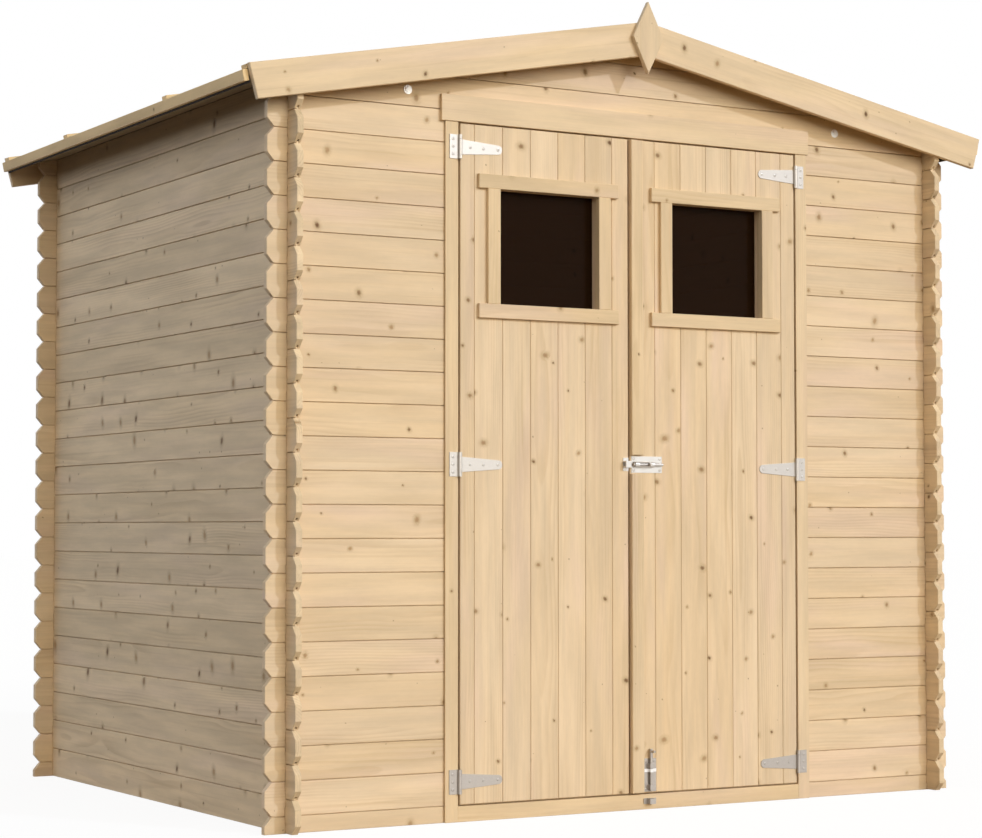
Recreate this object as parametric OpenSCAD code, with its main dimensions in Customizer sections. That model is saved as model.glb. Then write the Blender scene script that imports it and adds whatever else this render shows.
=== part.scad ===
// Wooden garden shed with interlocking board corners, a low gable roof and a pair of boarded doors.
// Millimetres, +Z up. The front faces -Y. The origin is on the ground, under the middle of the shed.

/* [Walls] */
// Width between the outer faces of the side walls
wall_w = 2100; // [1900:10:2400]
// Depth between the outer faces of the front and back walls
wall_d = 1690; // [1400:10:2200]
// Thickness of the wall boards
board_t = 18; // [15:1:21]
// Height of one board course
board_pitch = 87; // [80:1:96]
// Number of courses in a side wall
course_count = 22; // [20:1:26]
// How far the bevelled top of a side wall stands above its last whole course
wall_top = 7; // [0:1:20]
// Length of the board ends beyond the corner crossing
log_end = 57; // [40:1:90]
// Length of the bevel on each board end
end_bevel_run = 19; // [8:1:28]
// Height of the bevel on each board end
end_bevel_rise = 22; // [8:1:30]
// Play in the corner notches
notch_play = 0.4; // [0.2:0.1:1]

/* [Doorway] */
// Clear width between the door posts
doorway_w = 1112; // [1080:2:1240]
// Width of a door post
jamb_w = 38; // [28:1:60]
// Depth of a door post from front to back
jamb_depth = 32; // [28:1:50]
// How far the door frame stands in front of the wall
frame_proud = 7.5; // [4:0.5:10]
// Depth of the groove in a post that takes the wall boards
jamb_groove = 20; // [10:1:25]
// Height of the front lip of the header
header_h = 67; // [50:1:80]
// How far the header runs past the posts
header_overhang = 8; // [0:1:20]
// Height of the header behind its lip, under the gable
lintel_h = 30.5; // [20:0.5:40]
// Height of the sill
sill_h = 41; // [34:1:50]

/* [Doors] */
// Thickness of the door boards
door_t = 16; // [12:1:24]
// Gap beside each door on its hinge side
hinge_gap = 6.5; // [5:0.5:10]
// Gap between the two doors
meeting_gap = 5; // [5:0.5:10]
// Middle of the gap between the doors, from the middle of the doorway
meeting_x = -18; // [-24:1:-4]
// Gap over the doors
top_gap = 5; // [5:0.5:12]
// Gap under the doors
bottom_gap = 5; // [5:0.5:12]
// Width of the strip along the meeting edge
strip_w = 38; // [30:1:46]
// Thickness of the strip along the meeting edge
strip_t = 12; // [8:1:16]
// Thickness of the ledges and braces behind the doors
ledge_t = 16; // [12:1:25]
// Width of a ledge
ledge_w = 70; // [50:1:100]
// Width of a brace
brace_w = 58; // [40:1:80]
// Distance of the ledges from the sides of a door
ledge_inset = 30; // [20:1:60]
// Play between pieces that are cut to fit
fit_play = 0.3; // [0.2:0.1:1]

/* [Windows] */
// Width of a window opening
window_w = 308; // [240:2:324]
// Height of a window opening
window_h = 307; // [240:1:325]
// Distance of a window opening from the top of its door
window_drop = 172; // [165:1:220]
// Width of the window trim
trim_w = 38; // [25:1:50]
// Thickness of the window trim
trim_t = 7.5; // [5:0.5:12]
// How far the upper and lower trim run past the side trim
trim_overhang = 26; // [10:1:34]
// Thickness of the panes
pane_t = 3; // [2:0.5:6]
// How far a pane reaches into its inner frame
pane_lap = 12; // [6:1:20]
// Depth of a pane behind the door boards
pane_depth = 10.5; // [4:0.5:11]

/* [Hinges] */
// Distance of the lowest hinges from the bottom of the doors
hinge_low = 59; // [50:1:90]
// Distance of the highest hinges from the top of the doors
hinge_top = 62; // [50:1:70]
// How far the middle hinges sit below the middle of the doors
hinge_drop = 6.5; // [-40:0.5:40]
// Diameter of a hinge knuckle
knuckle_d = 11; // [8:0.5:12]
// Diameter of a hinge pin
pin_d = 5; // [3:0.5:6]
// Radial play of a hinge pin
pin_play = 0.08; // [0.04:0.02:0.1]
// Thickness of the hinge leaves
leaf_t = 2.5; // [1.5:0.5:4]
// Width of the fixed leaf
leaf_w = 30; // [24:1:36]
// Height of the fixed leaf and its knuckles
leaf_h = 64; // [50:1:90]
// Length of the strap from the pin
strap_len = 130; // [100:1:170]
// Height of the strap at its root
strap_root_h = 41; // [30:1:50]
// Height of the strap at its tip
strap_tip_h = 24; // [12:1:30]
// Play between the knuckles
knuckle_play = 0.5; // [0.3:0.1:1]

/* [Bolts] */
// Diameter of the sliding rods
rod_d = 9; // [6:0.5:12]
// Radial play of the rods in their guides
rod_play = 0.3; // [0.1:0.1:0.6]
// Distance of the rods from their plates
rod_gap = 1.5; // [1:0.5:3]
// Play around a rod in its keeper
keeper_play = 1.5; // [1:0.5:2]
// Width of a rod guide
guide_w = 13; // [8:1:16]
// Wall of the guides and keepers
guide_wall = 3; // [2:0.5:4]
// Distance of the guides from the ends of their plates
guide_inset = 6; // [4:1:10]
// Diameter of the knobs
knob_d = 7; // [5:0.5:10]
// Length of the knobs in front of the rods
knob_len = 13; // [8:1:18]
// Thickness of the bolt plates
plate_t = 2; // [1:0.5:3]
// Length of the latch plate
latch_len = 100; // [96:1:130]
// Height of the latch plate
latch_h = 45; // [36:1:60]
// How far the latch sits above the middle hinges
latch_rise = 7; // [-60:1:60]
// Distance of the latch plate from the edge of its door
latch_inset = 4; // [3:1:12]
// Width of the latch keeper
keeper_w = 17; // [12:1:30]
// Height of the latch keeper
keeper_h = 36; // [34:1:50]
// Room around the latch in the meeting strip
latch_room = 3; // [2:1:10]
// Travel of the latch rod
latch_travel = 26; // [22:1:28]
// Width of the floor bolt plate
floor_plate_w = 40; // [30:1:60]
// Length of the floor bolt plate
floor_plate_len = 90; // [80:1:120]
// Gap between the meeting strip and the floor bolt plate
floor_bolt_gap = 4; // [2:0.5:20]
// Height of the floor bolt keeper
floor_keeper_h = 15; // [10:1:16]
// Travel of the floor bolt rod
floor_travel = 28; // [24:1:30]
// Diameter of the washers on the gable tie bolts
tie_washer_d = 24; // [16:1:36]
// Thickness of the washers
tie_washer_t = 2; // [1:0.5:3]
// Diameter of the nuts on the gable tie bolts
tie_nut_d = 15; // [10:1:20]
// Height of the nuts
tie_nut_h = 4; // [3:0.5:8]
// Distance of the gable tie bolts from the door posts
tie_reach = 110; // [60:1:200]
// Height of the gable tie bolts over the lowest seam of the gable
tie_rise = 42; // [38:1:60]

/* [Roof] */
// Slope of the roof in degrees
roof_slope = 10.8; // [8:0.1:16]
// Overhang of the roof at the eaves, measured level
eave_overhang = 135; // [80:1:200]
// Thickness of the roof boards
deck_t = 16; // [12:1:24]
// Thickness of the roofing felt
felt_t = 2; // [1:0.5:4]
// Thickness of the bargeboards
barge_t = 16; // [12:1:25]
// Height of the bargeboards
barge_h = 92; // [80:1:100]
// How far the bargeboards stand above the roof boards
barge_rise = 15; // [5:1:30]
// Thickness of the eave strips
eave_t = 15; // [10:1:25]
// Height of the eave strips
eave_h = 29; // [20:1:50]
// How far the eave strips stand above the roof boards
eave_rise = 1; // [0:0.5:2]
// Width of the roof battens
batten_w = 30; // [20:1:50]
// Thickness of the roof battens
batten_t = 12; // [8:1:20]
// Distance of the inner battens from the middle of the roof
batten_y = 375; // [200:1:600]
// Width of the ridge purlin
purlin_w = 44; // [30:1:70]
// Height of the ridge purlin
purlin_h = 95; // [60:1:140]
// Width of the diamond finials
finial_w = 91; // [60:1:130]
// Height of the diamond finials
finial_h = 198; // [140:1:260]
// Thickness of the finials
finial_t = 15; // [10:1:25]

/* [Floor] */
// Thickness of the floor boards
floor_t = 16; // [12:1:25]
// Width of a floor joist
joist_w = 45; // [30:1:70]
// Number of floor joists
joist_count = 5; // [3:1:8]

/* [Hidden] */
$fn = 48;

pine = [0.87, 0.74, 0.56];
pale_pine = [0.90, 0.78, 0.61];
shaded_pine = [0.78, 0.65, 0.48];
zinc = [0.80, 0.81, 0.82];
felt_grey = [0.20, 0.20, 0.21];
dark_glass = [0.12, 0.10, 0.09];

front_y = -wall_d / 2;
face_y = front_y - frame_proud;
door_back_y = face_y + door_t;
half_course = board_pitch / 2;
side_wall_h = course_count * board_pitch + wall_top;

// Roof plane: local u runs down the slope from the ridge, local v stands square to it
roof_tan = tan(roof_slope);
ridge_z = side_wall_h + wall_w / 2 * roof_tan;
slope_len = (wall_w / 2 + eave_overhang) / cos(roof_slope);
roof_half_d = wall_d / 2 + log_end;
barge_top = deck_t + barge_rise;
batten_low = deck_t + felt_t;
finial_z = ridge_z + (barge_top - barge_h / 2) / cos(roof_slope);

// The last seam under the gable boards; front and back courses start with half a board
gable_seam = course_count * board_pitch - half_course;
doorway_h = gable_seam - lintel_h;
jamb_in = doorway_w / 2;
jamb_out = jamb_in + jamb_w;
wall_stop = jamb_out - jamb_groove;

// Door leaves
leaf_out = jamb_in - hinge_gap;
left_door_edge = meeting_x - meeting_gap / 2;
right_door_edge = meeting_x + meeting_gap / 2;
door_z0 = sill_h + bottom_gap;
door_z1 = doorway_h - top_gap;
window_x = leaf_out / 2;
window_z = door_z1 - window_drop - window_h;
pin_x = jamb_in - hinge_gap / 2;
pin_y = face_y - knuckle_d / 2;
hinge_mid = (door_z0 + door_z1) / 2 - hinge_drop;
hinge_z = [door_z0 + hinge_low, hinge_mid, door_z1 - hinge_top];
latch_z = hinge_mid + latch_rise;
trim_y = face_y - trim_t;
pane_y = door_back_y + pane_depth;
ledge_back_y = door_back_y + ledge_t;

// Rods lie in front of their plates and clear the ends of their doors when drawn
rod_y = face_y - plate_t - rod_gap - rod_d / 2;
rod_back = rod_gap + rod_d / 2;
rod_inset = 2;
guide_half = rod_d / 2 + rod_play + guide_wall;
loop_half = rod_d / 2 + keeper_play;
latch_x0 = right_door_edge + latch_inset;
latch_x1 = latch_x0 + latch_len;
latch_notch = latch_h / 2 + latch_room;
latch_guide_x = latch_x1 - guide_inset - latch_travel - guide_w;
latch_knob_x = latch_guide_x - knob_d / 2 - rod_inset / 2;
keeper_x1 = left_door_edge - rod_inset / 2;
floor_bolt_x = right_door_edge + strip_w + floor_bolt_gap + floor_plate_w / 2;
floor_plate_z = door_z0 + rod_inset;
floor_guide_z = floor_plate_z + floor_plate_len - 2 * guide_w;
floor_knob_z = floor_guide_z + guide_w + knob_d / 2 + rod_inset / 2 + floor_travel;
floor_rod_z1 = floor_knob_z + knob_d;
floor_keeper_z = (sill_h - floor_keeper_h) / 2 + rod_inset;
tie_x = jamb_out + tie_reach;
tie_z = gable_seam + tie_rise;

function under_roof(x) = ridge_z - abs(x) * roof_tan;

// Outline of a stack of boards along one wall: bevelled ends, and notches where the other walls cross
module board_stack(reach, low, high, first_seam) {
    seams = [for (z = [first_seam : board_pitch : high + board_pitch]) z];
    end = reach + log_end;
    difference() {
        translate([-end, low])
            square([2 * end, high - low]);
        for (z = seams, side = [-1, 1]) {
            polygon([
                [side * end, z - end_bevel_rise],
                [side * (end - end_bevel_run), z],
                [side * end, z + end_bevel_rise],
                [side * (end + 1), z + end_bevel_rise],
                [side * (end + 1), z - end_bevel_rise]
            ]);
            translate([side * (reach - board_t / 2), z])
                square([board_t + notch_play, board_pitch / 2 + notch_play], center = true);
        }
    }
}

// Everything above the underside of the roof boards, seen along Y
module above_roof() {
    far = wall_w;
    polygon([
        [-far, under_roof(far) - fit_play],
        [0, ridge_z - fit_play],
        [far, under_roof(far) - fit_play],
        [far, ridge_z + far],
        [-far, ridge_z + far]
    ]);
}

module along_y(y0, depth) {
    translate([0, y0 + depth, 0])
        rotate([90, 0, 0])
            linear_extrude(depth)
                children();
}

// A front or back outline with the roof slope cut off
module gabled_stack() {
    difference() {
        board_stack(wall_w / 2, 0, ridge_z, half_course);
        above_roof();
    }
}

module box(x0, x1, y0, y1, z0, z1) {
    translate([x0, y0, z0])
        cube([x1 - x0, y1 - y0, z1 - z0]);
}

module mirror_x(side) {
    if (side < 0)
        mirror([1, 0, 0]) children();
    else
        children();
}

module front_wall_side(side) {
    along_y(front_y, board_t)
        intersection() {
            gabled_stack();
            translate([side < 0 ? -wall_w : wall_stop + fit_play, 0])
                square([wall_w - (side < 0 ? wall_stop + fit_play : 0), gable_seam]);
        }
}

module front_wall_left() {
    color(pine) front_wall_side(-1);
}

module front_wall_right() {
    color(pine) front_wall_side(1);
}

module front_gable() {
    color(pine)
        along_y(front_y, board_t)
            intersection() {
                gabled_stack();
                translate([-wall_w, gable_seam])
                    square([2 * wall_w, ridge_z]);
            }
}

module back_wall() {
    color(pine)
        along_y(-front_y - board_t, board_t)
            gabled_stack();
}

module side_wall(side) {
    difference() {
        translate([side * wall_w / 2 - (side > 0 ? board_t : 0), 0, 0])
            rotate([90, 0, 90])
                linear_extrude(board_t)
                    board_stack(wall_d / 2, 0, side_wall_h + board_t, 0);
        along_y(-wall_d, 2 * wall_d)
            above_roof();
    }
}

module left_wall() {
    color(pine) side_wall(-1);
}

module right_wall() {
    color(pine) side_wall(1);
}

// Door post with a groove in its outer side for the ends of the wall boards
module jamb() {
    difference() {
        box(jamb_in, jamb_out, face_y, face_y + jamb_depth, 0, doorway_h);
        box(wall_stop, jamb_out + 1, front_y - fit_play, front_y + board_t + fit_play, -1, doorway_h + 1);
    }
}

module left_jamb() {
    color(pale_pine) mirror_x(-1) jamb();
}

module right_jamb() {
    color(pale_pine) mirror_x(1) jamb();
}

// Header board: its front lip covers the lower edge of the gable, its body closes the wall over the doors
module door_header() {
    lip = jamb_out + header_overhang;
    color(pale_pine)
        union() {
            box(-lip, lip, face_y, front_y - fit_play, doorway_h, doorway_h + header_h);
            box(-wall_stop, wall_stop, face_y, front_y + board_t, doorway_h, gable_seam - fit_play);
        }
}

module door_sill() {
    color(pale_pine)
        box(-jamb_in, jamb_in, face_y, face_y + jamb_depth, 0, sill_h);
}

// Door boards with the window opening cut through
module door_leaf(x0, x1, opening_x) {
    difference() {
        box(x0, x1, face_y, door_back_y, door_z0, door_z1);
        box(opening_x - window_w / 2, opening_x + window_w / 2, face_y - 1, door_back_y + 1,
            window_z, window_z + window_h);
    }
}

module left_door() {
    color(pale_pine) door_leaf(-leaf_out, left_door_edge, -window_x);
}

module right_door() {
    color(pale_pine) door_leaf(right_door_edge, leaf_out, window_x);
}

// Three ledges at the hinge heights and a brace that rises from the hinge side
module ledges(hinge_x, free_x) {
    low_top = hinge_z[0] + ledge_w / 2 + fit_play;
    mid_low = hinge_z[1] - ledge_w / 2 - fit_play;
    dir = free_x > hinge_x ? 1 : -1;
    left_x = min(hinge_x, free_x);
    right_x = max(hinge_x, free_x);
    for (z = hinge_z)
        box(left_x, right_x, door_back_y, ledge_back_y, z - ledge_w / 2, z + ledge_w / 2);
    along_y(door_back_y, ledge_t)
        polygon([
            [hinge_x, low_top],
            [hinge_x + dir * brace_w, low_top],
            [free_x, mid_low],
            [free_x - dir * brace_w, mid_low]
        ]);
}

module left_door_ledges() {
    color(shaded_pine) ledges(-leaf_out + ledge_inset, left_door_edge - ledge_inset);
}

module right_door_ledges() {
    color(shaded_pine) ledges(leaf_out - ledge_inset, right_door_edge + ledge_inset);
}

// Cover strip in two lengths, with room for the latch between them
module meeting_strip() {
    color(pale_pine) {
        box(right_door_edge, right_door_edge + strip_w, face_y - strip_t, face_y,
            door_z0, latch_z - latch_notch);
        box(right_door_edge, right_door_edge + strip_w, face_y - strip_t, face_y,
            latch_z + latch_notch, door_z1);
    }
}

module window_trim(x) {
    half_w = window_w / 2;
    long = half_w + trim_w + trim_overhang;
    top = window_z + window_h;
    box(x - long, x + long, trim_y, face_y, top, top + trim_w);
    box(x - long, x + long, trim_y, face_y, window_z - trim_w, window_z);
    for (side = [-1, 1])
        translate([x + side * (half_w + trim_w / 2), 0, 0])
            box(-trim_w / 2, trim_w / 2, trim_y, face_y, window_z - fit_play, top + fit_play);
}

module left_window_trim() {
    color(pale_pine) window_trim(-window_x);
}

module right_window_trim() {
    color(pale_pine) window_trim(window_x);
}

module pane(x) {
    box(x - window_w / 2 - pane_lap, x + window_w / 2 + pane_lap, pane_y, pane_y + pane_t,
        window_z - pane_lap, window_z + window_h + pane_lap);
}

module left_pane() {
    color(dark_glass) pane(-window_x);
}

module right_pane() {
    color(dark_glass) pane(window_x);
}

// Inner frame behind the door boards, with a groove around its opening for the pane
module window_beads(x) {
    half_w = window_w / 2;
    lap = pane_lap + fit_play;
    difference() {
        box(x - half_w - trim_w, x + half_w + trim_w, door_back_y, ledge_back_y,
            window_z - trim_w, window_z + window_h + trim_w);
        box(x - half_w, x + half_w, door_back_y - 1, ledge_back_y + 1, window_z, window_z + window_h);
        box(x - half_w - lap, x + half_w + lap, pane_y - fit_play, pane_y + pane_t + fit_play,
            window_z - lap, window_z + window_h + lap);
    }
}

module left_window_beads() {
    color(shaded_pine) window_beads(-window_x);
}

module right_window_beads() {
    color(shaded_pine) window_beads(window_x);
}

module knuckle(z0, z1, bore_d) {
    translate([pin_x, pin_y, z0])
        difference() {
            cylinder(h = z1 - z0, d = knuckle_d);
            if (bore_d > 0)
                translate([0, 0, -1])
                    cylinder(h = z1 - z0 + 2, d = bore_d);
        }
}

// Fixed leaves on the post, with the outer knuckles and the pin
module hinge_leaves() {
    gap = strap_root_h / 2 + knuckle_play;
    for (z = hinge_z) {
        difference() {
            box(pin_x, pin_x + leaf_w, face_y - leaf_t, face_y, z - leaf_h / 2, z + leaf_h / 2);
            translate([pin_x, pin_y, z - gap])
                cylinder(h = 2 * gap, d = knuckle_d + 2 * knuckle_play);
        }
        for (end = [-1, 1])
            knuckle(z + (end > 0 ? gap : -leaf_h / 2), z + (end > 0 ? leaf_h / 2 : -gap), 0);
        translate([pin_x, pin_y, z - leaf_h / 2])
            cylinder(h = leaf_h, d = pin_d);
    }
}

module left_hinge_leaves() {
    color(zinc) mirror_x(-1) hinge_leaves();
}

module right_hinge_leaves() {
    color(zinc) mirror_x(1) hinge_leaves();
}

// Tapered strap with a round tip, drawn along -X from the pin
module strap_outline() {
    tip_r = strap_tip_h / 2;
    polygon([
        [0, -strap_root_h / 2],
        [0, strap_root_h / 2],
        [-strap_len + tip_r, tip_r],
        [-strap_len + tip_r, -tip_r]
    ]);
    translate([-strap_len + tip_r, 0])
        circle(r = tip_r);
}

module hinge_straps() {
    bore = pin_d + 2 * pin_play;
    for (z = hinge_z) {
        difference() {
            translate([pin_x, 0, z])
                along_y(face_y - leaf_t, leaf_t)
                    strap_outline();
            translate([pin_x, pin_y, z - strap_root_h])
                cylinder(h = 2 * strap_root_h, d = bore);
        }
        knuckle(z - strap_root_h / 2, z + strap_root_h / 2, bore);
    }
}

module left_hinge_straps() {
    color(zinc) mirror_x(-1) hinge_straps();
}

module right_hinge_straps() {
    color(zinc) mirror_x(1) hinge_straps();
}

// A guide stands on its plate and lets the rod run through along +Z of its own frame
module rod_guide() {
    difference() {
        translate([-guide_half, -guide_half, 0])
            cube([2 * guide_half, guide_half + rod_back, guide_w]);
        translate([0, 0, -1])
            cylinder(h = guide_w + 2, d = rod_d + 2 * rod_play);
    }
}

// A keeper loop with a square way through, open to its plate
module keeper_loop(depth) {
    outer = loop_half + guide_wall;
    difference() {
        translate([-outer, -outer, 0])
            cube([2 * outer, outer + rod_back, depth]);
        translate([-loop_half, -loop_half, -1])
            cube([2 * loop_half, loop_half + rod_back, depth + 2]);
    }
}

// Turns a piece that stands along +Z so that it lies along +X, with its back still to the door
module lying() {
    rotate([0, 90, 0])
        children();
}

// Round knob that points to the front
module knob() {
    rotate([90, 0, 0])
        cylinder(h = rod_d / 2 + knob_len, d = knob_d);
}

// Plate with a round barrel over the rod, slotted in front for the knob
module latch_plate() {
    bore = rod_d + 2 * rod_play;
    barrel_x = latch_x0 + guide_inset;
    slot_half = knob_d / 2 + rod_inset / 2;
    color(zinc)
        difference() {
            union() {
                box(latch_x0, latch_x1, face_y - plate_t, face_y, latch_z - latch_h / 2, latch_z + latch_h / 2);
                translate([barrel_x, rod_y, latch_z])
                    lying()
                        cylinder(h = latch_guide_x + guide_w - barrel_x, r = guide_half);
                box(barrel_x, latch_guide_x + guide_w, rod_y, face_y - plate_t,
                    latch_z - guide_half, latch_z + guide_half);
            }
            translate([barrel_x - 1, rod_y, latch_z])
                lying()
                    cylinder(h = latch_len, d = bore);
            box(latch_knob_x - latch_travel - slot_half, latch_knob_x + slot_half, rod_y - 2 * guide_half, rod_y,
                latch_z - slot_half, latch_z + slot_half);
        }
}

// Sliding rod with its knob, drawn back
module latch_rod() {
    color(zinc) {
        translate([latch_x0 + rod_inset, rod_y, latch_z])
            lying()
                cylinder(h = latch_len - 2 * rod_inset, d = rod_d);
        translate([latch_knob_x, rod_y, latch_z])
            knob();
    }
}

module latch_keeper() {
    color(zinc) {
        box(keeper_x1 - keeper_w, keeper_x1, face_y - plate_t, face_y,
            latch_z - keeper_h / 2, latch_z + keeper_h / 2);
        translate([keeper_x1 - keeper_w, rod_y, latch_z])
            lying()
                keeper_loop(keeper_w);
    }
}

module floor_bolt_plate() {
    color(zinc) {
        box(floor_bolt_x - floor_plate_w / 2, floor_bolt_x + floor_plate_w / 2, face_y - plate_t, face_y,
            floor_plate_z, floor_plate_z + floor_plate_len);
        for (z = [floor_plate_z + guide_inset, floor_guide_z])
            translate([floor_bolt_x, rod_y, z])
                rod_guide();
    }
}

module floor_bolt_rod() {
    color(zinc) {
        translate([floor_bolt_x, rod_y, floor_plate_z + rod_inset])
            cylinder(h = floor_rod_z1 - floor_plate_z - rod_inset, d = rod_d);
        translate([floor_bolt_x, rod_y, floor_knob_z])
            knob();
    }
}

module floor_bolt_keeper() {
    color(zinc) {
        box(floor_bolt_x - floor_plate_w / 2, floor_bolt_x + floor_plate_w / 2, face_y - plate_t, face_y,
            floor_keeper_z, floor_keeper_z + floor_keeper_h);
        translate([floor_bolt_x, rod_y, floor_keeper_z])
            keeper_loop(floor_keeper_h);
    }
}

// Washer and round nut on each tie bolt
module gable_tie_bolts() {
    color(zinc)
        for (side = [-1, 1])
            translate([side * tie_x, front_y, tie_z])
                rotate([90, 0, 0]) {
                    cylinder(h = tie_washer_t, d = tie_washer_d);
                    cylinder(h = tie_washer_t + tie_nut_h, d = tie_nut_d);
                }
}

// A layer of the right-hand roof slope between two heights above the roof boards' underside
module roof_layer(v0, v1, y0, y1, u1 = slope_len) {
    translate([0, 0, ridge_z])
        rotate([0, roof_slope, 0])
            along_y(y0, y1 - y0)
                polygon([
                    [fit_play - v0 * roof_tan, v0],
                    [u1, v0],
                    [u1, v1],
                    [fit_play - v1 * roof_tan, v1]
                ]);
}

module left_roof_deck() {
    color(shaded_pine) mirror_x(-1) roof_layer(0, deck_t, -roof_half_d, roof_half_d);
}

module right_roof_deck() {
    color(shaded_pine) mirror_x(1) roof_layer(0, deck_t, -roof_half_d, roof_half_d);
}

module left_roof_felt() {
    color(felt_grey) mirror_x(-1) roof_layer(deck_t, batten_low, -roof_half_d, roof_half_d);
}

module right_roof_felt() {
    color(felt_grey) mirror_x(1) roof_layer(deck_t, batten_low, -roof_half_d, roof_half_d);
}

module roof_battens() {
    edge = roof_half_d - batten_w / 2;
    for (y = [-edge, -batten_y, batten_y, edge])
        roof_layer(batten_low, batten_low + batten_t, y - batten_w / 2, y + batten_w / 2, slope_len + eave_t);
}

module left_roof_battens() {
    color(pine) mirror_x(-1) roof_battens();
}

module right_roof_battens() {
    color(pine) mirror_x(1) roof_battens();
}

module eave_strip() {
    top = deck_t + eave_rise;
    translate([0, 0, ridge_z])
        rotate([0, roof_slope, 0])
            box(slope_len, slope_len + eave_t, -roof_half_d, roof_half_d, top - eave_h, top);
}

module left_eave_strip() {
    color(pine) mirror_x(-1) eave_strip();
}

module right_eave_strip() {
    color(pine) mirror_x(1) eave_strip();
}

// Beam under the ridge, from gable to gable, with its top cut to both slopes
module ridge_purlin() {
    inner_y = -front_y - board_t;
    half = purlin_w / 2;
    color(shaded_pine)
        along_y(-inner_y, 2 * inner_y)
            polygon([
                [-half, ridge_z - purlin_h],
                [half, ridge_z - purlin_h],
                [half, under_roof(half) - fit_play],
                [0, ridge_z - fit_play],
                [-half, under_roof(half) - fit_play]
            ]);
}

module bargeboards(y0) {
    for (side = [-1, 1])
        mirror_x(side)
            roof_layer(barge_top - barge_h, barge_top, y0, y0 + barge_t);
}

module front_bargeboards() {
    color(pale_pine) bargeboards(-roof_half_d - barge_t);
}

module back_bargeboards() {
    color(pale_pine) bargeboards(roof_half_d);
}

module finial(y0) {
    translate([0, 0, finial_z])
        along_y(y0, finial_t)
            polygon([
                [0, finial_h / 2],
                [finial_w / 2, 0],
                [0, -finial_h / 2],
                [-finial_w / 2, 0]
            ]);
}

module front_finial() {
    color(pale_pine) finial(-roof_half_d - barge_t - finial_t);
}

module back_finial() {
    color(pale_pine) finial(roof_half_d + barge_t);
}

// Floor inside the walls, level with the top of the sill
floor_half_w = wall_w / 2 - board_t - fit_play;
floor_y0 = face_y + jamb_depth + fit_play;
floor_y1 = -front_y - board_t - fit_play;

module floor_boards() {
    color(pine) box(-floor_half_w, floor_half_w, floor_y0, floor_y1, sill_h - floor_t, sill_h);
}

module floor_joists() {
    first = -floor_half_w + joist_w / 2;
    step = -2 * first / (joist_count - 1);
    color(shaded_pine)
        for (i = [0 : joist_count - 1])
            translate([first + i * step, 0, 0])
                box(-joist_w / 2, joist_w / 2, floor_y0, floor_y1, 0, sill_h - floor_t);
}

front_wall_left();
front_wall_right();
front_gable();
back_wall();
left_wall();
right_wall();
left_jamb();
right_jamb();
door_header();
door_sill();
left_door();
right_door();
left_door_ledges();
right_door_ledges();
meeting_strip();
left_window_trim();
right_window_trim();
left_pane();
right_pane();
left_window_beads();
right_window_beads();
left_hinge_leaves();
right_hinge_leaves();
left_hinge_straps();
right_hinge_straps();
latch_plate();
latch_rod();
latch_keeper();
floor_bolt_plate();
floor_bolt_rod();
floor_bolt_keeper();
gable_tie_bolts();
left_roof_deck();
right_roof_deck();
left_roof_felt();
right_roof_felt();
left_roof_battens();
right_roof_battens();
left_eave_strip();
right_eave_strip();
ridge_purlin();
front_bargeboards();
back_bargeboards();
front_finial();
back_finial();
floor_boards();
floor_joists();
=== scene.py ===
"""Looks of a pine garden shed with interlocking board corners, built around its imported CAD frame."""

import logging
import math
import random
from dataclasses import dataclass, field
from enum import Enum

import bpy
import bmesh
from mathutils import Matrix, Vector


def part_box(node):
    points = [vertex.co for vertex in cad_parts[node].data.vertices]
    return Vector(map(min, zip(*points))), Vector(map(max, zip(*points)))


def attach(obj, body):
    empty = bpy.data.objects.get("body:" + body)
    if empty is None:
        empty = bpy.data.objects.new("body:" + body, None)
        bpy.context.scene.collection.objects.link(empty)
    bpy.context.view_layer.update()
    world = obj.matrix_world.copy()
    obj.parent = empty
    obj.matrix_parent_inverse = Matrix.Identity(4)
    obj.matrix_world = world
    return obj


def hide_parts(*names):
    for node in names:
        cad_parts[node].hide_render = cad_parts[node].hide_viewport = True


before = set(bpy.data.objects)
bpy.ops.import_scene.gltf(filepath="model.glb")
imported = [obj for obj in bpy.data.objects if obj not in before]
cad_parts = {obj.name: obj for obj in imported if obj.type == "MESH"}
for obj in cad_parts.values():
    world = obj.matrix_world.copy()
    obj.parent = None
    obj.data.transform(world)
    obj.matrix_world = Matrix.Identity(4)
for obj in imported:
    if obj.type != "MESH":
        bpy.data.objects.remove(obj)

LOG = logging.getLogger("shed")
MM = 0.001
RIGHT, BACK, UP = Vector((1, 0, 0)), Vector((0, 1, 0)), Vector((0, 0, 1))
ROOF_ANGLE = math.radians(10.8)
FIT = 0.3 * MM
MIDDLE_DROP = 6.5 * MM

Point2 = tuple[float, float]
Point3 = tuple[float, float, float]
Colour = tuple[float, float, float]
Outline = list[Point2]
Ends = tuple[bool, bool]
Socket = bpy.types.NodeSocket
Material = bpy.types.Material


class Axis(Enum):
    """The frame's axes: to the right, to the back and up."""

    X = 0
    Y = 1
    Z = 2


class Grain(Enum):
    """Which direction of a board's own plane the wood fibres follow."""

    ALONG = 0
    DEPTH = 1


class Side(Enum):
    """The shed's two sides, and which way each lies along the X axis."""

    LEFT = -1
    RIGHT = 1

    def node(self, what: str) -> str:
        """The name of a node or a piece on this side."""
        return f"{self.name.lower()}_{what}"


class Body(Enum):
    """The bodies that the pieces ride on."""

    SHED = "shed"
    LEFT_DOOR = "left_door_leaf"
    RIGHT_DOOR = "right_door_leaf"


class Slot(Enum):
    """The record's material slots."""

    WALL = "wall_boards"
    TRIM = "trim_and_doors"
    INNER = "inner_timber"
    ROOF = "roof_boards"
    FELT = "roofing_felt"
    ZINC = "zinc_steel"


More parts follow.
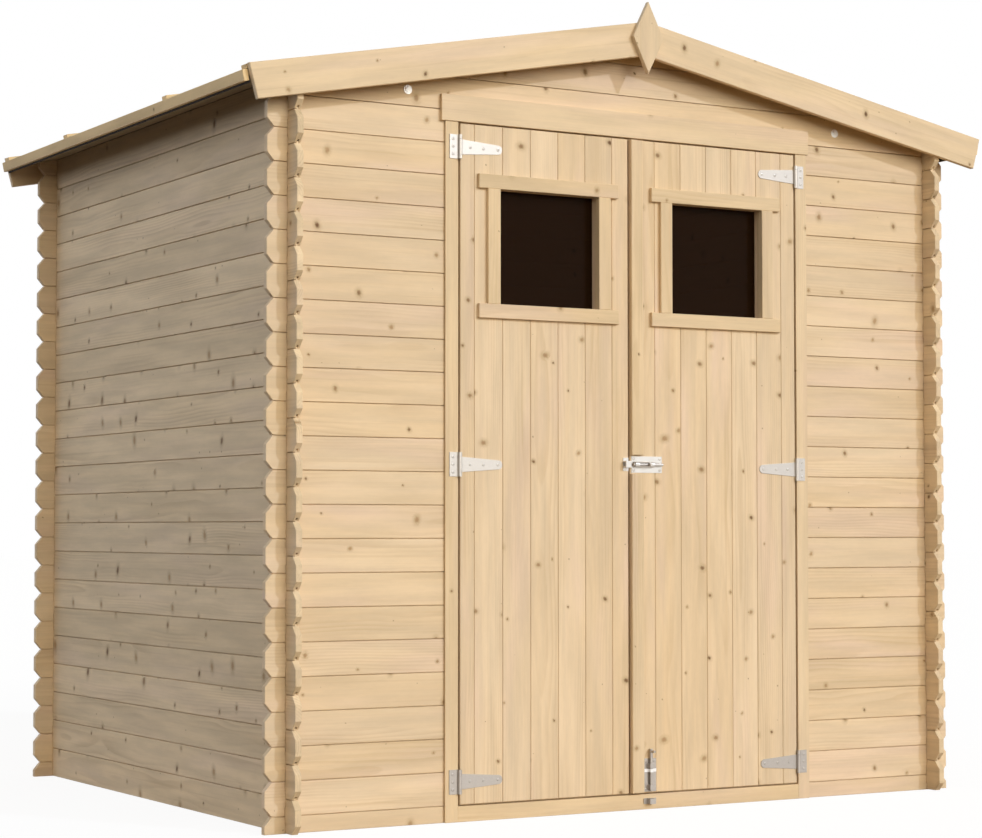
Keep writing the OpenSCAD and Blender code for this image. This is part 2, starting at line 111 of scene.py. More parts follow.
class Nodes:
    """A small hand for laying out the shader nodes of one material or world."""

    def __init__(self, owner: Material | bpy.types.World) -> None:
        """Clears the owner's nodes.

        Args:
            owner: the new material or world.
        """
        self.owner = owner
        owner.use_nodes = True
        self.tree = owner.node_tree
        self.tree.nodes.clear()

    def add(self, kind: str, inputs: dict | None = None, **settings) -> bpy.types.Node:
        """Adds a node, sets its properties and fills its inputs.

        Args:
            kind: the node's type name.
            inputs: socket name or index to a constant or to another node's output socket.
            settings: node properties to set.

        Returns:
            The new node.
        """
        node = self.tree.nodes.new(kind)
        for key, value in settings.items():
            setattr(node, key, value)
        for key, value in (inputs or {}).items():
            if isinstance(value, Socket):
                self.tree.links.new(value, node.inputs[key])
            else:
                node.inputs[key].default_value = value
        return node

    def math(self, operation: str, a: object, b: object = 0.0, c: object = 0.0) -> Socket:
        """A Math node's result from up to three values or sockets."""
        return self.add("ShaderNodeMath", {0: a, 1: b, 2: c}, operation=operation).outputs[0]

    def times(self, a: object, b: object) -> Socket:
        """The product of two values or sockets."""
        return self.math("MULTIPLY", a, b)

    def scaled(self, value: object, by: object, plus: object) -> Socket:
        """A value times a factor, plus another value."""
        return self.math("MULTIPLY_ADD", value, by, plus)

    def length(self, a: Socket, b: Socket) -> Socket:
        """The length of a line that reaches this far in two square directions."""
        return self.math("SQRT", self.math("ADD", self.times(a, a), self.times(b, b)))

    def ramp(self, value: object, low: float, high: float, to_low: float = 0.0,
             to_high: float = 1.0) -> Socket:
        """A smooth step: to_low where the value is at low, to_high where it is at high."""
        ends = {0: value, 1: low, 2: high, 3: to_low, 4: to_high}
        return self.add("ShaderNodeMapRange", ends, interpolation_type="SMOOTHSTEP").outputs[0]

    def place(self) -> Socket:
        """The place on the piece."""
        return self.add("ShaderNodeTexCoord").outputs["Object"]

    def vector(self, x: object, y: object, z: object = 0.0) -> Socket:
        """Three values as one vector."""
        return self.add("ShaderNodeCombineXYZ", {0: x, 1: y, 2: z}).outputs[0]

    def parts(self, vector: Socket) -> bpy.types.NodeOutputs:
        """A vector's three values."""
        return self.add("ShaderNodeSeparateXYZ", {0: vector}).outputs

    def noise(self, vector: Socket, detail: float = 2.0, roughness: float = 0.5,
              scale: float = 1.0) -> Socket:
        """Noise from about 0 to 1 at a vector."""
        inputs = {"Vector": vector, "Scale": scale, "Detail": detail, "Roughness": roughness}
        return self.add("ShaderNodeTexNoise", inputs).outputs[0]

    def mix(self, factor: object, a: object, b: object, blend: str = "MIX") -> Socket:
        """Two colours or sockets mixed, by the share of the second."""
        first, second = ((*x, 1.0) if isinstance(x, tuple) else x for x in (a, b))
        return self.add("ShaderNodeMix", {0: factor, 6: first, 7: second}, data_type="RGBA",
                        blend_type=blend).outputs[2]

    def surface(self, shader: bpy.types.Node) -> Material | bpy.types.World:
        """Links a shader to the output.

        Args:
            shader: the node whose first output is shown.

        Returns:
            The material or world.
        """
        owner = "World" if isinstance(self.owner, bpy.types.World) else "Material"
        self.add("ShaderNodeOutput" + owner, {"Surface": shader.outputs[0]})
        return self.owner

    def coated(self, relief: tuple[Socket, float, float], inputs: dict) -> Material:
        """A surface with inputs for its look, and a relief of some height, strength and distance."""
        bump = self.add("ShaderNodeBump", dict(zip(("Height", "Strength", "Distance"), relief)))
        return self.surface(self.add("ShaderNodeBsdfPrincipled", {**inputs, "Normal": bump.outputs[0]}))


@dataclass(frozen=True)
class WoodFinish:
    """Planed softwood: faint growth rings, fibres, knots across the grain, and a tone per board."""

    name: str
    pale: Colour
    warm: Colour
    blush: Colour
    ring: Colour
    ring_share: float = 0.16
    ring_width: float = 6.6 * MM
    knot_share: float = 0.68
    knot_size: float = 1.0
    knot_tall: float = 0.5
    knot_cell: Point2 = (0.135, 0.088)
    knot_radii: Point2 = (2.6, 4.4)
    knot_pale: Colour = (0.36, 0.20, 0.085)
    knot_dark: Colour = (0.13, 0.062, 0.025)
    pin_share: float = 0.93
    pin_cell: Point2 = (0.047, 0.066)
    pin_radii: Point2 = (1.1, 1.3)
    pin_tone: Colour = (0.25, 0.14, 0.065)
    spread: float = 0.09
    clouds: float = 0.08
    roughness: float = 0.62

    def material(self) -> Material:
        """Builds the node material from the board attributes.

        Returns:
            The finished material.
        """
        n = Nodes(bpy.data.materials.new(self.name))
        u, v, w = n.parts(n.add("ShaderNodeAttribute", attribute_name="grain").outputs["Vector"])
        r1, r2, r3 = n.parts(n.add("ShaderNodeAttribute", attribute_name="board").outputs["Vector"])
        u, v_far = n.scaled(r1, 40.0, u), n.scaled(r2, 9.0, v)

        def noise(along: float, across: float, detail: float = 2.0, roughness: float = 0.5) -> Socket:
            """Noise on the board, scaled along and across the grain."""
            place = n.vector(n.times(u, along), n.times(v_far, across), n.times(w, across))
            return n.noise(place, detail, roughness)

        core, halo, dark = self.knots(n, (u, v_far, w), self.knot_cell, self.knot_share, self.knot_radii)
        pin, _, _ = self.knots(n, (v_far, u, w), self.pin_cell, self.pin_share, self.pin_radii)

        pith_v = n.math("SUBTRACT", v, n.scaled(r2, 0.13, -0.065))
        pith_w = n.math("ADD", w, n.scaled(r3, 0.09, 0.016))
        reach = n.scaled(noise(1.7, 7.0), 0.034, n.length(pith_v, pith_w))
        ring = n.math("FRACT", n.math("DIVIDE", n.scaled(halo, 0.004, reach), self.ring_width))
        late = n.times(n.ramp(ring, 0.2, 0.86), n.ramp(ring, 1.0, 0.88))
        patch = n.ramp(noise(1.3, 13.0, 1.0), 0.42, 0.68, 0.15, 1.6)
        fibre = noise(5.0, 420.0, 3.0, 0.6)
        cloud = noise(2.4, 17.0, 3.0)
        flush = noise(1.5, 9.0)
        streak = noise(1.2, 95.0)
        mottle = noise(38.0, 130.0)
        shade = noise(3.1, 26.0, 3.0)

        base = n.mix(n.scaled(r3, 0.8, n.scaled(cloud, 1.5, -0.65)), self.pale, self.warm)
        base = n.mix(n.ramp(flush, 0.48, 0.72, 0.0, 0.75), base, self.blush)
        base = n.mix(n.times(n.times(late, patch), self.ring_share), base, self.ring)
        base = n.mix(n.ramp(streak, 0.56, 0.78, 0.0, 0.26), base, self.ring)
        level = n.scaled(r1, self.spread, 1.0 - self.spread * 0.5)
        level = n.times(level, n.scaled(fibre, 0.10, 0.95))
        level = n.times(level, n.scaled(mottle, 0.07, 0.965))
        level = n.times(level, n.ramp(shade, 0.3, 0.7, 1.0 - self.clouds, 1.0 + self.clouds * 0.6))
        base = n.mix(1.0, base, n.vector(level, level, level), "MULTIPLY")
        smudge = tuple(c * f for c, f in zip(self.ring, (0.78, 0.78, 0.74)))
        base = n.mix(n.times(halo, 0.46), base, smudge)
        knot = n.mix(dark, self.knot_pale, self.knot_dark)
        base = n.mix(n.times(core, n.scaled(dark, 0.36, 0.62)), base, knot)
        base = n.mix(n.times(pin, 0.62), base, self.pin_tone)

        height = n.scaled(core, 0.6, n.scaled(late, -0.3, n.times(fibre, 0.5)))
        rough = n.scaled(fibre, 0.12, self.roughness - 0.06)
        return n.coated((height, 0.2, 0.9 * MM), {
            "Base Color": base, "Roughness": rough, "Specular IOR Level": 0.2})

    def knots(self, n: Nodes, place: tuple[Socket, Socket, Socket], cell: Point2, share: float,
              radii: Point2) -> tuple[Socket, Socket, Socket]:
        """Scattered knots, each with its own size, lean and tone.

        Args:
            n: the material's nodes.
            place: along the grain, across it and in the depth.
            cell: mean spacing along and across, in metres.
            share: share of the places that stay without a knot.
            radii: smallest radius and the most that is added to it, in millimetres.

        Returns:
            The knot's core, the smudge around it, and how dark it is.
        """
        u, v, _ = place
        wobble = n.scaled(n.noise(n.vector(*(n.times(p, 170.0) for p in place))), 0.006, -0.003)
        at = n.vector(n.math("DIVIDE", n.math("ADD", u, wobble), cell[0]),
                      n.math("DIVIDE", n.math("SUBTRACT", v, wobble), cell[1]))
        cells = n.add("ShaderNodeTexVoronoi", {"Vector": at, "Scale": 1.0, "Randomness": 1.0},
                      voronoi_dimensions="2D").outputs
        chance, size, tone = n.add("ShaderNodeSeparateColor", {0: cells["Color"]}).outputs[:3]
        off = n.add("ShaderNodeVectorMath", {0: at, 1: cells["Position"]}, operation="SUBTRACT").outputs[0]
        du, dv, _ = n.parts(off)
        dv = n.times(dv, cell[1])
        du = n.scaled(dv, n.scaled(tone, 0.36, -0.18), n.times(du, cell[0]))
        dv = n.math("DIVIDE", dv, n.scaled(size, self.knot_tall, 0.85))
        grown = self.knot_size * MM
        radius = n.scaled(size, radii[1] * grown, radii[0] * grown)
        radius = n.times(radius, n.math("GREATER_THAN", chance, share))
        least = 0.01 * MM
        ratio = n.math("DIVIDE", n.length(du, dv), n.math("MAXIMUM", radius, least))
        return n.ramp(ratio, 1.3, 0.3), n.ramp(ratio, 2.8, 0.5), n.times(tone, tone)


@dataclass(frozen=True)
class ZincFinish:
    """Zinc plate with a faint spangle, darker towards the ground: painted shade in place of the dim ground
    that the metal reflects.
    """

    name: str = "bright_zinc"
    light: Colour = (0.56, 0.52, 0.475)
    # The colour near the ground: painted shade, darker than the zinc's own colour.
    low_shade_colour: Colour = (0.43, 0.385, 0.345)

    def material(self) -> Material:
        """Builds the node material.

        Returns:
            The finished material.
        """
        n = Nodes(bpy.data.materials.new(self.name))
        place = n.place()
        spangle = n.add("ShaderNodeTexVoronoi", {"Vector": place, "Scale": 260.0}).outputs["Color"]
        flake = n.add("ShaderNodeSeparateColor", {0: spangle}).outputs[0]
        cloud = n.noise(place, 3.0, scale=55.0)
        # Painted shade: the lower the place, the more of the darker colour, standing in for the dim ground's
        # reflection.
        painted_low_shade = n.ramp(n.parts(place)[2], 1.0, 0.15, 0.0, 0.85)
        share = n.math("ADD", painted_low_shade, n.scaled(flake, 0.16, n.scaled(cloud, 0.3, -0.2)))
        return n.coated((cloud, 0.08, 0.5 * MM), {
            "Base Color": n.mix(share, self.light, self.low_shade_colour), "Metallic": 0.75,
            "Roughness": n.scaled(cloud, 0.2, 0.28)})


@dataclass(frozen=True)
class FeltFinish:
    """Mineral roofing felt with fine chippings."""

    name: str = "mineral_felt"
    dark: Colour = (0.026, 0.022, 0.019)
    chip: Colour = (0.135, 0.127, 0.118)

    def material(self) -> Material:
        """Builds the node material.

        Returns:
            The finished material.
        """
        n = Nodes(bpy.data.materials.new(self.name))
        place = n.place()
        chips = n.add("ShaderNodeTexVoronoi", {"Vector": place, "Scale": 420.0}).outputs
        tone = n.add("ShaderNodeSeparateColor", {0: chips["Color"]}).outputs[0]
        cloud = n.noise(place, 4.0, scale=7.0)
        share = n.times(n.ramp(tone, 0.35, 0.95), n.scaled(cloud, 0.8, 0.4))
        return n.coated((chips["Distance"], 0.5, 1.0 * MM), {
            "Base Color": n.mix(share, self.dark, self.chip), "Roughness": 0.93})


@dataclass(frozen=True)
class GlassFinish:
    """Window glass tinted dark brown: painted shade of the unlit room behind it."""

    name: str = "pane_painted_room_shade"
    # Painted shade: the dark brown stands for the unlit room seen through the glass.
    tint: Colour = (0.125, 0.060, 0.028)

    def material(self) -> Material:
        """Builds the node material.

        Returns:
            The finished material.
        """
        n = Nodes(bpy.data.materials.new(self.name))
        waves = n.noise(n.place(), 1.0, scale=6.0)
        return n.coated((waves, 0.05, 2.0 * MM), {
            "Base Color": (*self.tint, 1.0), "Roughness": 0.03, "IOR": 1.11, "Transmission Weight": 0.9,
            "Specular IOR Level": 0.05})


@dataclass(frozen=True)
class Finishes:
    """Every finish on the shed, built once."""

    wall: Material
    side: Material
    door: Material
    trim: Material
    barge: Material
    inner: Material
    bead: Material
    roof: Material
    eave: Material
    zinc: Material
    plate: Material
    painted_light_zinc: Material
    felt: Material
    glass: Material

    @classmethod
    def build(cls) -> "Finishes":
        """Builds the materials.

        Returns:
            The set of finishes.
        """
        pine = (0.775, 0.614, 0.429), (0.75, 0.573, 0.37), (0.77, 0.588, 0.445), (0.55, 0.374, 0.19)
        side = (0.775, 0.612, 0.41), (0.742, 0.58, 0.377), (0.762, 0.595, 0.42), (0.47, 0.323, 0.18)
        trim = (0.742, 0.585, 0.395), (0.715, 0.545, 0.34), (0.735, 0.56, 0.405), (0.52, 0.355, 0.18)
        barge = (0.80, 0.635, 0.44), (0.78, 0.605, 0.395), (0.80, 0.62, 0.46), (0.57, 0.40, 0.21)
        inner = (0.66, 0.46, 0.27), (0.62, 0.42, 0.235), (0.64, 0.44, 0.27), (0.42, 0.25, 0.115)
        bead = (0.80, 0.61, 0.45), (0.77, 0.58, 0.41), (0.79, 0.60, 0.45), (0.55, 0.38, 0.23)
        # The roof boards' colours are far darker than the pine's: painted shade of the soffit under the
        # eaves.
        roof = (0.46, 0.35, 0.215), (0.42, 0.315, 0.19), (0.44, 0.33, 0.2), (0.26, 0.18, 0.09)
        eave = (0.82, 0.605, 0.335), (0.78, 0.575, 0.31), (0.80, 0.59, 0.33), (0.50, 0.34, 0.17)
        looks = {
            "wall": WoodFinish("wall_pine", *pine, knot_share=0.60, knot_size=1.08),
            "side": WoodFinish("side_pine", *side, ring_share=0.2, knot_share=0.54, knot_size=1.3,
                               knot_tall=0.7, spread=0.13, clouds=0.11),
            "door": WoodFinish("door_pine", *pine, knot_share=0.55, knot_size=1.08),
            "trim": WoodFinish("trim_pine", *trim, ring_share=0.12, knot_share=0.78),
            "barge": WoodFinish("barge_pine", *barge, ring_share=0.14, knot_share=0.7),
            "inner": WoodFinish("inner_pine", *inner, ring_share=0.3),
            "bead": WoodFinish("bead_pine", *bead),
            "roof": WoodFinish("roof_pine_painted_shade", *roof, ring_share=0.3, clouds=0.14),
            "eave": WoodFinish("eave_pine", *eave, ring_share=0.24, clouds=0.1),
            "zinc": ZincFinish(),
            "plate": ZincFinish("plate_zinc", (0.64, 0.61, 0.57), (0.60, 0.57, 0.53)),
            # A brighter copy of the zinc: painted light, for the tie bolts in the bargeboard's shade and for
            # the floor bolt's band.
            "painted_light_zinc": ZincFinish("zinc_with_painted_light", (0.90, 0.87, 0.83), (0.80, 0.78, 0.77)),
            "felt": FeltFinish(),
            "glass": GlassFinish(),
        }
        return cls(**{part: look.material() for part, look in looks.items()})


@dataclass(frozen=True)
class Plane:
    """A board's own plane in the shed's frame: along its length, across its width, and into its thickness."""

    origin: Vector
    along: Vector
    across: Vector
    depth: Vector

    def point(self, u: float, v: float, w: float) -> Vector:
        """The place in the shed's frame of a point in the plane."""
        return self.origin + self.along * u + self.across * v + self.depth * w


def signed_area(outline: Outline) -> float:
    """The outline's area, positive where it runs counterclockwise."""
    pairs = zip(outline, outline[1:] + outline[:1])
    return sum(a[0] * b[1] - b[0] * a[1] for a, b in pairs) / 2


def inset(outline: Outline, amount: float) -> Outline:
    """Moves each side of a counterclockwise outline inward.

    Args:
        outline: the corners.
        amount: how far each side moves.

    Returns:
        The corners of the smaller outline.
    """
    sharpest = 0.3
    moved = []
    for i, corner in enumerate(outline):
        before, after = outline[i - 1], outline[(i + 1) % len(outline)]
        normals = []
        for a, b in ((before, corner), (corner, after)):
            dx, dy = b[0] - a[0], b[1] - a[1]
            size = math.hypot(dx, dy) or 1.0
            normals.append((-dy / size, dx / size))
        (ax, ay), (bx, by) = normals
        scale = amount / max(sharpest, 1.0 + ax * bx + ay * by)
        moved.append((corner[0] + (ax + bx) * scale, corner[1] + (ay + by) * scale))
    return moved


def clip(outline: Outline, start: float, slope: float) -> Outline:
    """Cuts off what lies above a straight line.

    Args:
        outline: the corners.
        start: the line's height at 0.
        slope: how steeply it rises.

    Returns:
        The corners of what is left.
    """
    over = [p[1] - start - slope * p[0] for p in outline]
    kept = []
    for i, a in enumerate(outline):
        j = (i + 1) % len(outline)
        b, da, db = outline[j], over[i], over[j]
        if da <= 0:
            kept.append(a)
        if (da < 0 < db) or (db < 0 < da):
            t = da / (da - db)
            kept.append((a[0] + (b[0] - a[0]) * t, a[1] + (b[1] - a[1]) * t))
    return kept


def rectangle(u0: float, u1: float, v0: float, v1: float) -> Outline:
    """A rectangle's corners, counterclockwise."""
    return [(u0, v0), (u1, v0), (u1, v1), (u0, v1)]


def dress(node: str, material: Material) -> None:
    """Gives a finish to a CAD node that keeps its own shape.

    Args:
        node: the node's name.
        material: its finish.
    """
    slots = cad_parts[node].data.materials
    slots.clear()
    slots.append(material)
    LOG.info("piece %s: CAD node in %s", node, material.name)


class Timber:
    """Collects bevelled pieces of wood or metal and turns them into one object."""

    def __init__(self, name: str, seed: int = 0) -> None:
        """Starts an empty piece.

        Args:
            name: the piece's name.
            seed: starts the draw of each board's tone.
        """
        self.name = name
        self.verts: list[Vector] = []
        self.faces: list[list[int]] = []
        self.grain: list[Point3] = []
        self.board: list[Point3] = []
        self.rng = random.Random(seed)

    def draw(self) -> Point3:
        """Three chance values that set a board's tone."""
        return self.rng.random(), self.rng.random(), self.rng.random()

    def board_at(self, outline: Outline, thickness: float, bevel: float, plane: Plane,
                 grain: Grain = Grain.ALONG) -> None:
        """Adds one board: an outline in a plane given a thickness, with a bevel round both faces."""
        middle = (sum(p[0] for p in outline) / len(outline), sum(p[1] for p in outline) / len(outline))
        self.layer_at(outline, (0.0, thickness), (bevel, bevel), plane, self.draw(), middle, grain)

    def layer_at(self, outline: Outline, span: Point2, bevels: Point2, plane: Plane, tone: Point3,
                 middle: Point2, grain: Grain = Grain.ALONG) -> None:
        """Adds one layer of a board between two depths.

        Args:
            outline: the layer's corners in the plane.
            span: depths of its two faces.
            bevels: width of the bevel round each face, 0 for none.
            plane: where the board lies.
            tone: the board's chance values.
            middle: the board's middle, from which its grain is measured.
            grain: which way its fibres run.
        """
        if signed_area(outline) < 0:
            outline = outline[::-1]
        rings = [(outline, span[0] + bevels[0]), (outline, span[1] - bevels[1])]
        if bevels[0] > 0:
            rings.insert(0, (inset(outline, bevels[0]), span[0]))
        if bevels[1] > 0:
            rings.append((inset(outline, bevels[1]), span[1]))
        first = len(self.verts)
        for points, w in rings:
            for u, v in points:
                self.verts.append(plane.point(u, v, w))
                a, b = u - middle[0], v - middle[1]
                self.grain.append((u, b, w) if grain is Grain.ALONG else (w, a, b))
                self.board.append(tone)
        self.close(first, len(outline))

    def close(self, first: int, count: int) -> None:
        """Lays faces over the rings of points from a first point on, and over both ends.

        Args:
            first: number of the first point.
            count: points in a ring.
        """
        last = len(self.verts) - count
        self.faces.append(list(range(first, first + count))[::-1])
        self.faces.append(list(range(last, last + count)))
        for low in range(first, last, count):
            for i in range(count):
                j = (i + 1) % count
                self.faces.append([low + i, low + j, low + count + j, low + count + i])

    def box_at(self, lo: Vector, hi: Vector, along: Axis, bevel: float) -> None:
        """Adds a bevelled box that lies square to the frame.

        Args:
            lo: lowest corner.
            hi: highest corner.
            along: the axis that the fibres follow.
            bevel: width of the bevel.
        """
        sizes = hi - lo
        others = [axis.value for axis in Axis if axis is not along]
        across, depth = sorted(others, key=lambda axis: -sizes[axis])
        axes = (RIGHT, BACK, UP)
        plane = Plane(lo.copy(), axes[along.value], axes[across], axes[depth])
        self.board_at(rectangle(0, sizes[along.value], 0, sizes[across]), sizes[depth], bevel, plane)

    def frame_at(self, rails: Point2, stiles: tuple[Point2, Point2], heights: tuple[float, ...],
                 depths: Point2, bevel: float, slack: float = 0.0) -> None:
        """Adds a frame of two rails with two stiles between them.

        Args:
            rails: where the rails start and end.
            stiles: where each stile starts and ends.
            heights: lower and upper edge of the lower rail, then of the upper rail.
            depths: front and back.
            bevel: width of the bevel.
            slack: how far the stiles stay off the rails.
        """
        near, far = depths
        for low, high in (heights[:2], heights[2:]):
            self.box_at(Vector((rails[0], near, low)), Vector((rails[1], far, high)), Axis.X, bevel)
        low, high = heights[1] + slack, heights[2] - slack
        for left, right in stiles:
            self.box_at(Vector((left, near, low)), Vector((right, far, high)), Axis.Z, bevel)

    def make(self, body: Body, slot: Slot, material: Material, *nodes: str) -> None:
        """Turns what was collected into one object that stands for some CAD nodes.

        Args:
            body: what it rides on.
            slot: the record's material slot; not used.
            material: its finish.
            nodes: the CAD nodes that it stands for.
        """
        mesh = bpy.data.meshes.new(self.name)
        mesh.from_pydata([tuple(v) for v in self.verts], [], self.faces)
        for label, values in (("grain", self.grain), ("board", self.board)):
            if values:
                layer = mesh.attributes.new(label, "FLOAT_VECTOR", "POINT")
                layer.data.foreach_set("vector", [c for value in values for c in value])
        work = bmesh.new()
        work.from_mesh(mesh)
        bmesh.ops.recalc_face_normals(work, faces=work.faces)
        work.to_mesh(mesh)
        work.free()
        mesh.materials.append(material)
        piece = bpy.data.objects.new(self.name, mesh)
        bpy.context.scene.collection.objects.link(piece)
        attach(piece, body.value)
        if nodes:
            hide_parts(*nodes)
        LOG.info("piece %s: %d vertices, rides on %s", self.name, len(mesh.vertices), body.value)


@dataclass(frozen=True)
class BoardCut:
    """How a wall board is cut.

    Attributes:
        span: where the board starts and ends.
        edges: its lower and upper edge.
        logs: whether the start and the end cross another wall.
        cuts: whether the lower and the upper edge are notched and bevelled there.
        joined: whether it has a groove below and a tongue above.
    """

    span: Point2
    edges: Point2
    logs: Ends
    cuts: Ends
    joined: Ends


@dataclass
class Courses:
    """Sizes that the walls share, and the tongued board with notched, bevelled log ends."""

    pitch: float = 87 * MM
    board_t: float = 18 * MM
    log_end: float = 57 * MM
    bevel_run: float = 19 * MM
    bevel_rise: float = 22 * MM
    play: float = 0.2 * MM
    seam: float = 0.9 * MM
    edge: float = 1.1 * MM
    tongue: float = 6 * MM
    groove: float = 8 * MM
    tongue_share: float = 0.36

    def outline(self, cut: BoardCut, lifts: Point2) -> Outline:
        """One layer of a board with its log ends.

        Args:
            cut: how the board is cut.
            lifts: how far the layer's lower and upper edges lie above the board's.

        Returns:
            The layer's corners, counterclockwise.
        """
        u0, u1 = cut.span
        logs, cuts = cut.logs, cut.cuts
        quarter = self.pitch / 4
        v0, v1 = cut.edges[0] + self.seam * cuts[0], cut.edges[1] - self.seam * cuts[1]

        def edge_points(v: float, lift: float, inward: float, run: float, cut_here: bool) -> Outline:
            """The corners along one edge, with the notches for the crossing walls.

            Args:
                v: the board's edge.
                lift: how far the layer's edge lies above it.
                inward: how far the notches go in, with its sign.
                run: how far the bevel takes the log ends back.
                cut_here: whether the edge is notched.

            Returns:
                The corners from start to end.
            """
            points = [(u0 + run if logs[0] else u0, v + lift)]
            if cut_here:
                for log, near in ((logs[0], u0 + self.log_end), (logs[1], u1 - self.log_end - self.board_t)):
                    if log:
                        a, b = near - self.play, near + self.board_t + self.play
                        points += [(a, v + lift), (a, v + inward), (b, v + inward), (b, v + lift)]
            points.append((u1 - run if logs[1] else u1, v + lift))
            return points

        def end_points(u: float, way: float) -> Outline:
            """The corners of one log end.

            Args:
                u: where the board ends.
                way: +1 at its start, -1 at its end.

            Returns:
                The corners from below.
            """
            low = [(u, v0 + self.bevel_rise)] if cuts[0] else []
            high = [(u, v1 - self.bevel_rise)] if cuts[1] else []
            if cuts[1] and lifts[1] > 0:
                high.append((u + way * self.bevel_run, v1))
            return low + high

        low_run = self.bevel_run * (1 - lifts[0] / self.bevel_rise) if cuts[0] else 0.0
        bottom = edge_points(v0, lifts[0], quarter, low_run, cuts[0])
        top = edge_points(v1, lifts[1], -quarter, self.bevel_run if cuts[1] else 0.0, cuts[1])
        right = end_points(u1, -1.0) if logs[1] else []
        left = end_points(u0, 1.0) if logs[0] else []
        return bottom + right + top[::-1] + left[::-1]

    def board(self, timber: Timber, plane: Plane, cut: BoardCut, roof: list[Point2]) -> None:
        """Adds a board of three layers: two faces, and the middle with groove and tongue.

        Args:
            timber: takes the board.
            plane: the wall's plane.
            cut: how the board is cut.
            roof: height at 0 and slope of the lines that cut the board off at the roof.
        """
        near, far = self.board_t * self.tongue_share, self.board_t * (1 - self.tongue_share)
        flat, lifts = (0.0, 0.0), (self.groove * cut.joined[0], self.tongue * cut.joined[1])
        tone = timber.draw()
        middle = (0.0, (cut.edges[0] + cut.edges[1]) / 2)
        layers = (((0.0, near), (self.edge, 0.0), flat), ((near, far), flat, lifts),
                  ((far, self.board_t), (0.0, self.edge), flat))
        for depths, bevels, lift in layers:
            outline = self.outline(cut, lift)
            for line in roof:
                outline = clip(outline, *line)
            timber.layer_at(outline, depths, bevels, plane, tone, middle)


@dataclass
class Walls:
    """The six board walls."""

    finishes: Finishes
    long_courses: Courses = field(default_factory=Courses)
    side_courses: Courses = field(default_factory=lambda: Courses(seam=1.0 * MM))
    slope: float = math.tan(ROOF_ANGLE)
    corner: float = 0.9

    def build(self) -> None:
        """Builds every wall in its CAD node's place."""
        self.side_wall("left_wall", 1.0, 11)
        self.side_wall("right_wall", -1.0, 12)
        for seed, node in enumerate(("front_wall_left", "front_wall_right", "front_gable", "back_wall"), 13):
            self.long_wall(node, seed)

    def side_wall(self, node: str, inward: float, seed: int) -> None:
        """One side wall.

        Args:
            node: its CAD node.
            inward: +1 where the inside is towards +X.
            seed: starts the draw of tones.
        """
        c = self.side_courses
        lo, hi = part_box(node)
        plane = Plane(RIGHT * (lo.x if inward > 0 else hi.x), BACK, UP, RIGHT * inward)
        timber = Timber(node + "_boards", seed)
        top = hi.z - c.board_t * self.slope
        count = int(top / c.pitch)
        for j in range(count):
            last = j == count - 1
            edges = (j * c.pitch, top if last else (j + 1) * c.pitch)
            cut = BoardCut((lo.y, hi.y), edges, (True, True), (True, True), (j > 0, not last))
            c.board(timber, plane, cut, [])
        timber.make(Body.SHED, Slot.WALL, self.finishes.side, node)

    def long_wall(self, node: str, seed: int) -> None:
        """The boards of a front or back wall, cut to the roof.

        Args:
            node: its CAD node.
            seed: starts the draw of tones.
        """
        c = self.long_courses
        lo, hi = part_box(node)
        gable_lo, gable_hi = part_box("front_gable")
        plane, ridge = Plane(BACK * gable_lo.y, RIGHT, UP, BACK), gable_hi.z
        if node == "back_wall":
            plane, ridge = Plane(BACK * hi.y, RIGHT, UP, -BACK), hi.z
        logs = (lo.x < -self.corner, hi.x > self.corner)
        timber = Timber(node + "_boards", seed)
        level = lo.z if node == "front_gable" else 0.0
        while level < hi.z - MM:
            seam = (math.floor((level + MM) / c.pitch + 0.5) + 0.5) * c.pitch
            top = min(seam, hi.z)
            raised, ends_here = level > MM, top > hi.z - MM
            cuts = (raised, not ends_here or hi.z < ridge - MM)
            cut = BoardCut((lo.x, hi.x), (level, top), logs, cuts, (raised, not ends_here))
            c.board(timber, plane, cut, [(ridge, -self.slope), (ridge, self.slope)])
            level = top
        timber.make(Body.SHED, Slot.WALL, self.finishes.wall, node)


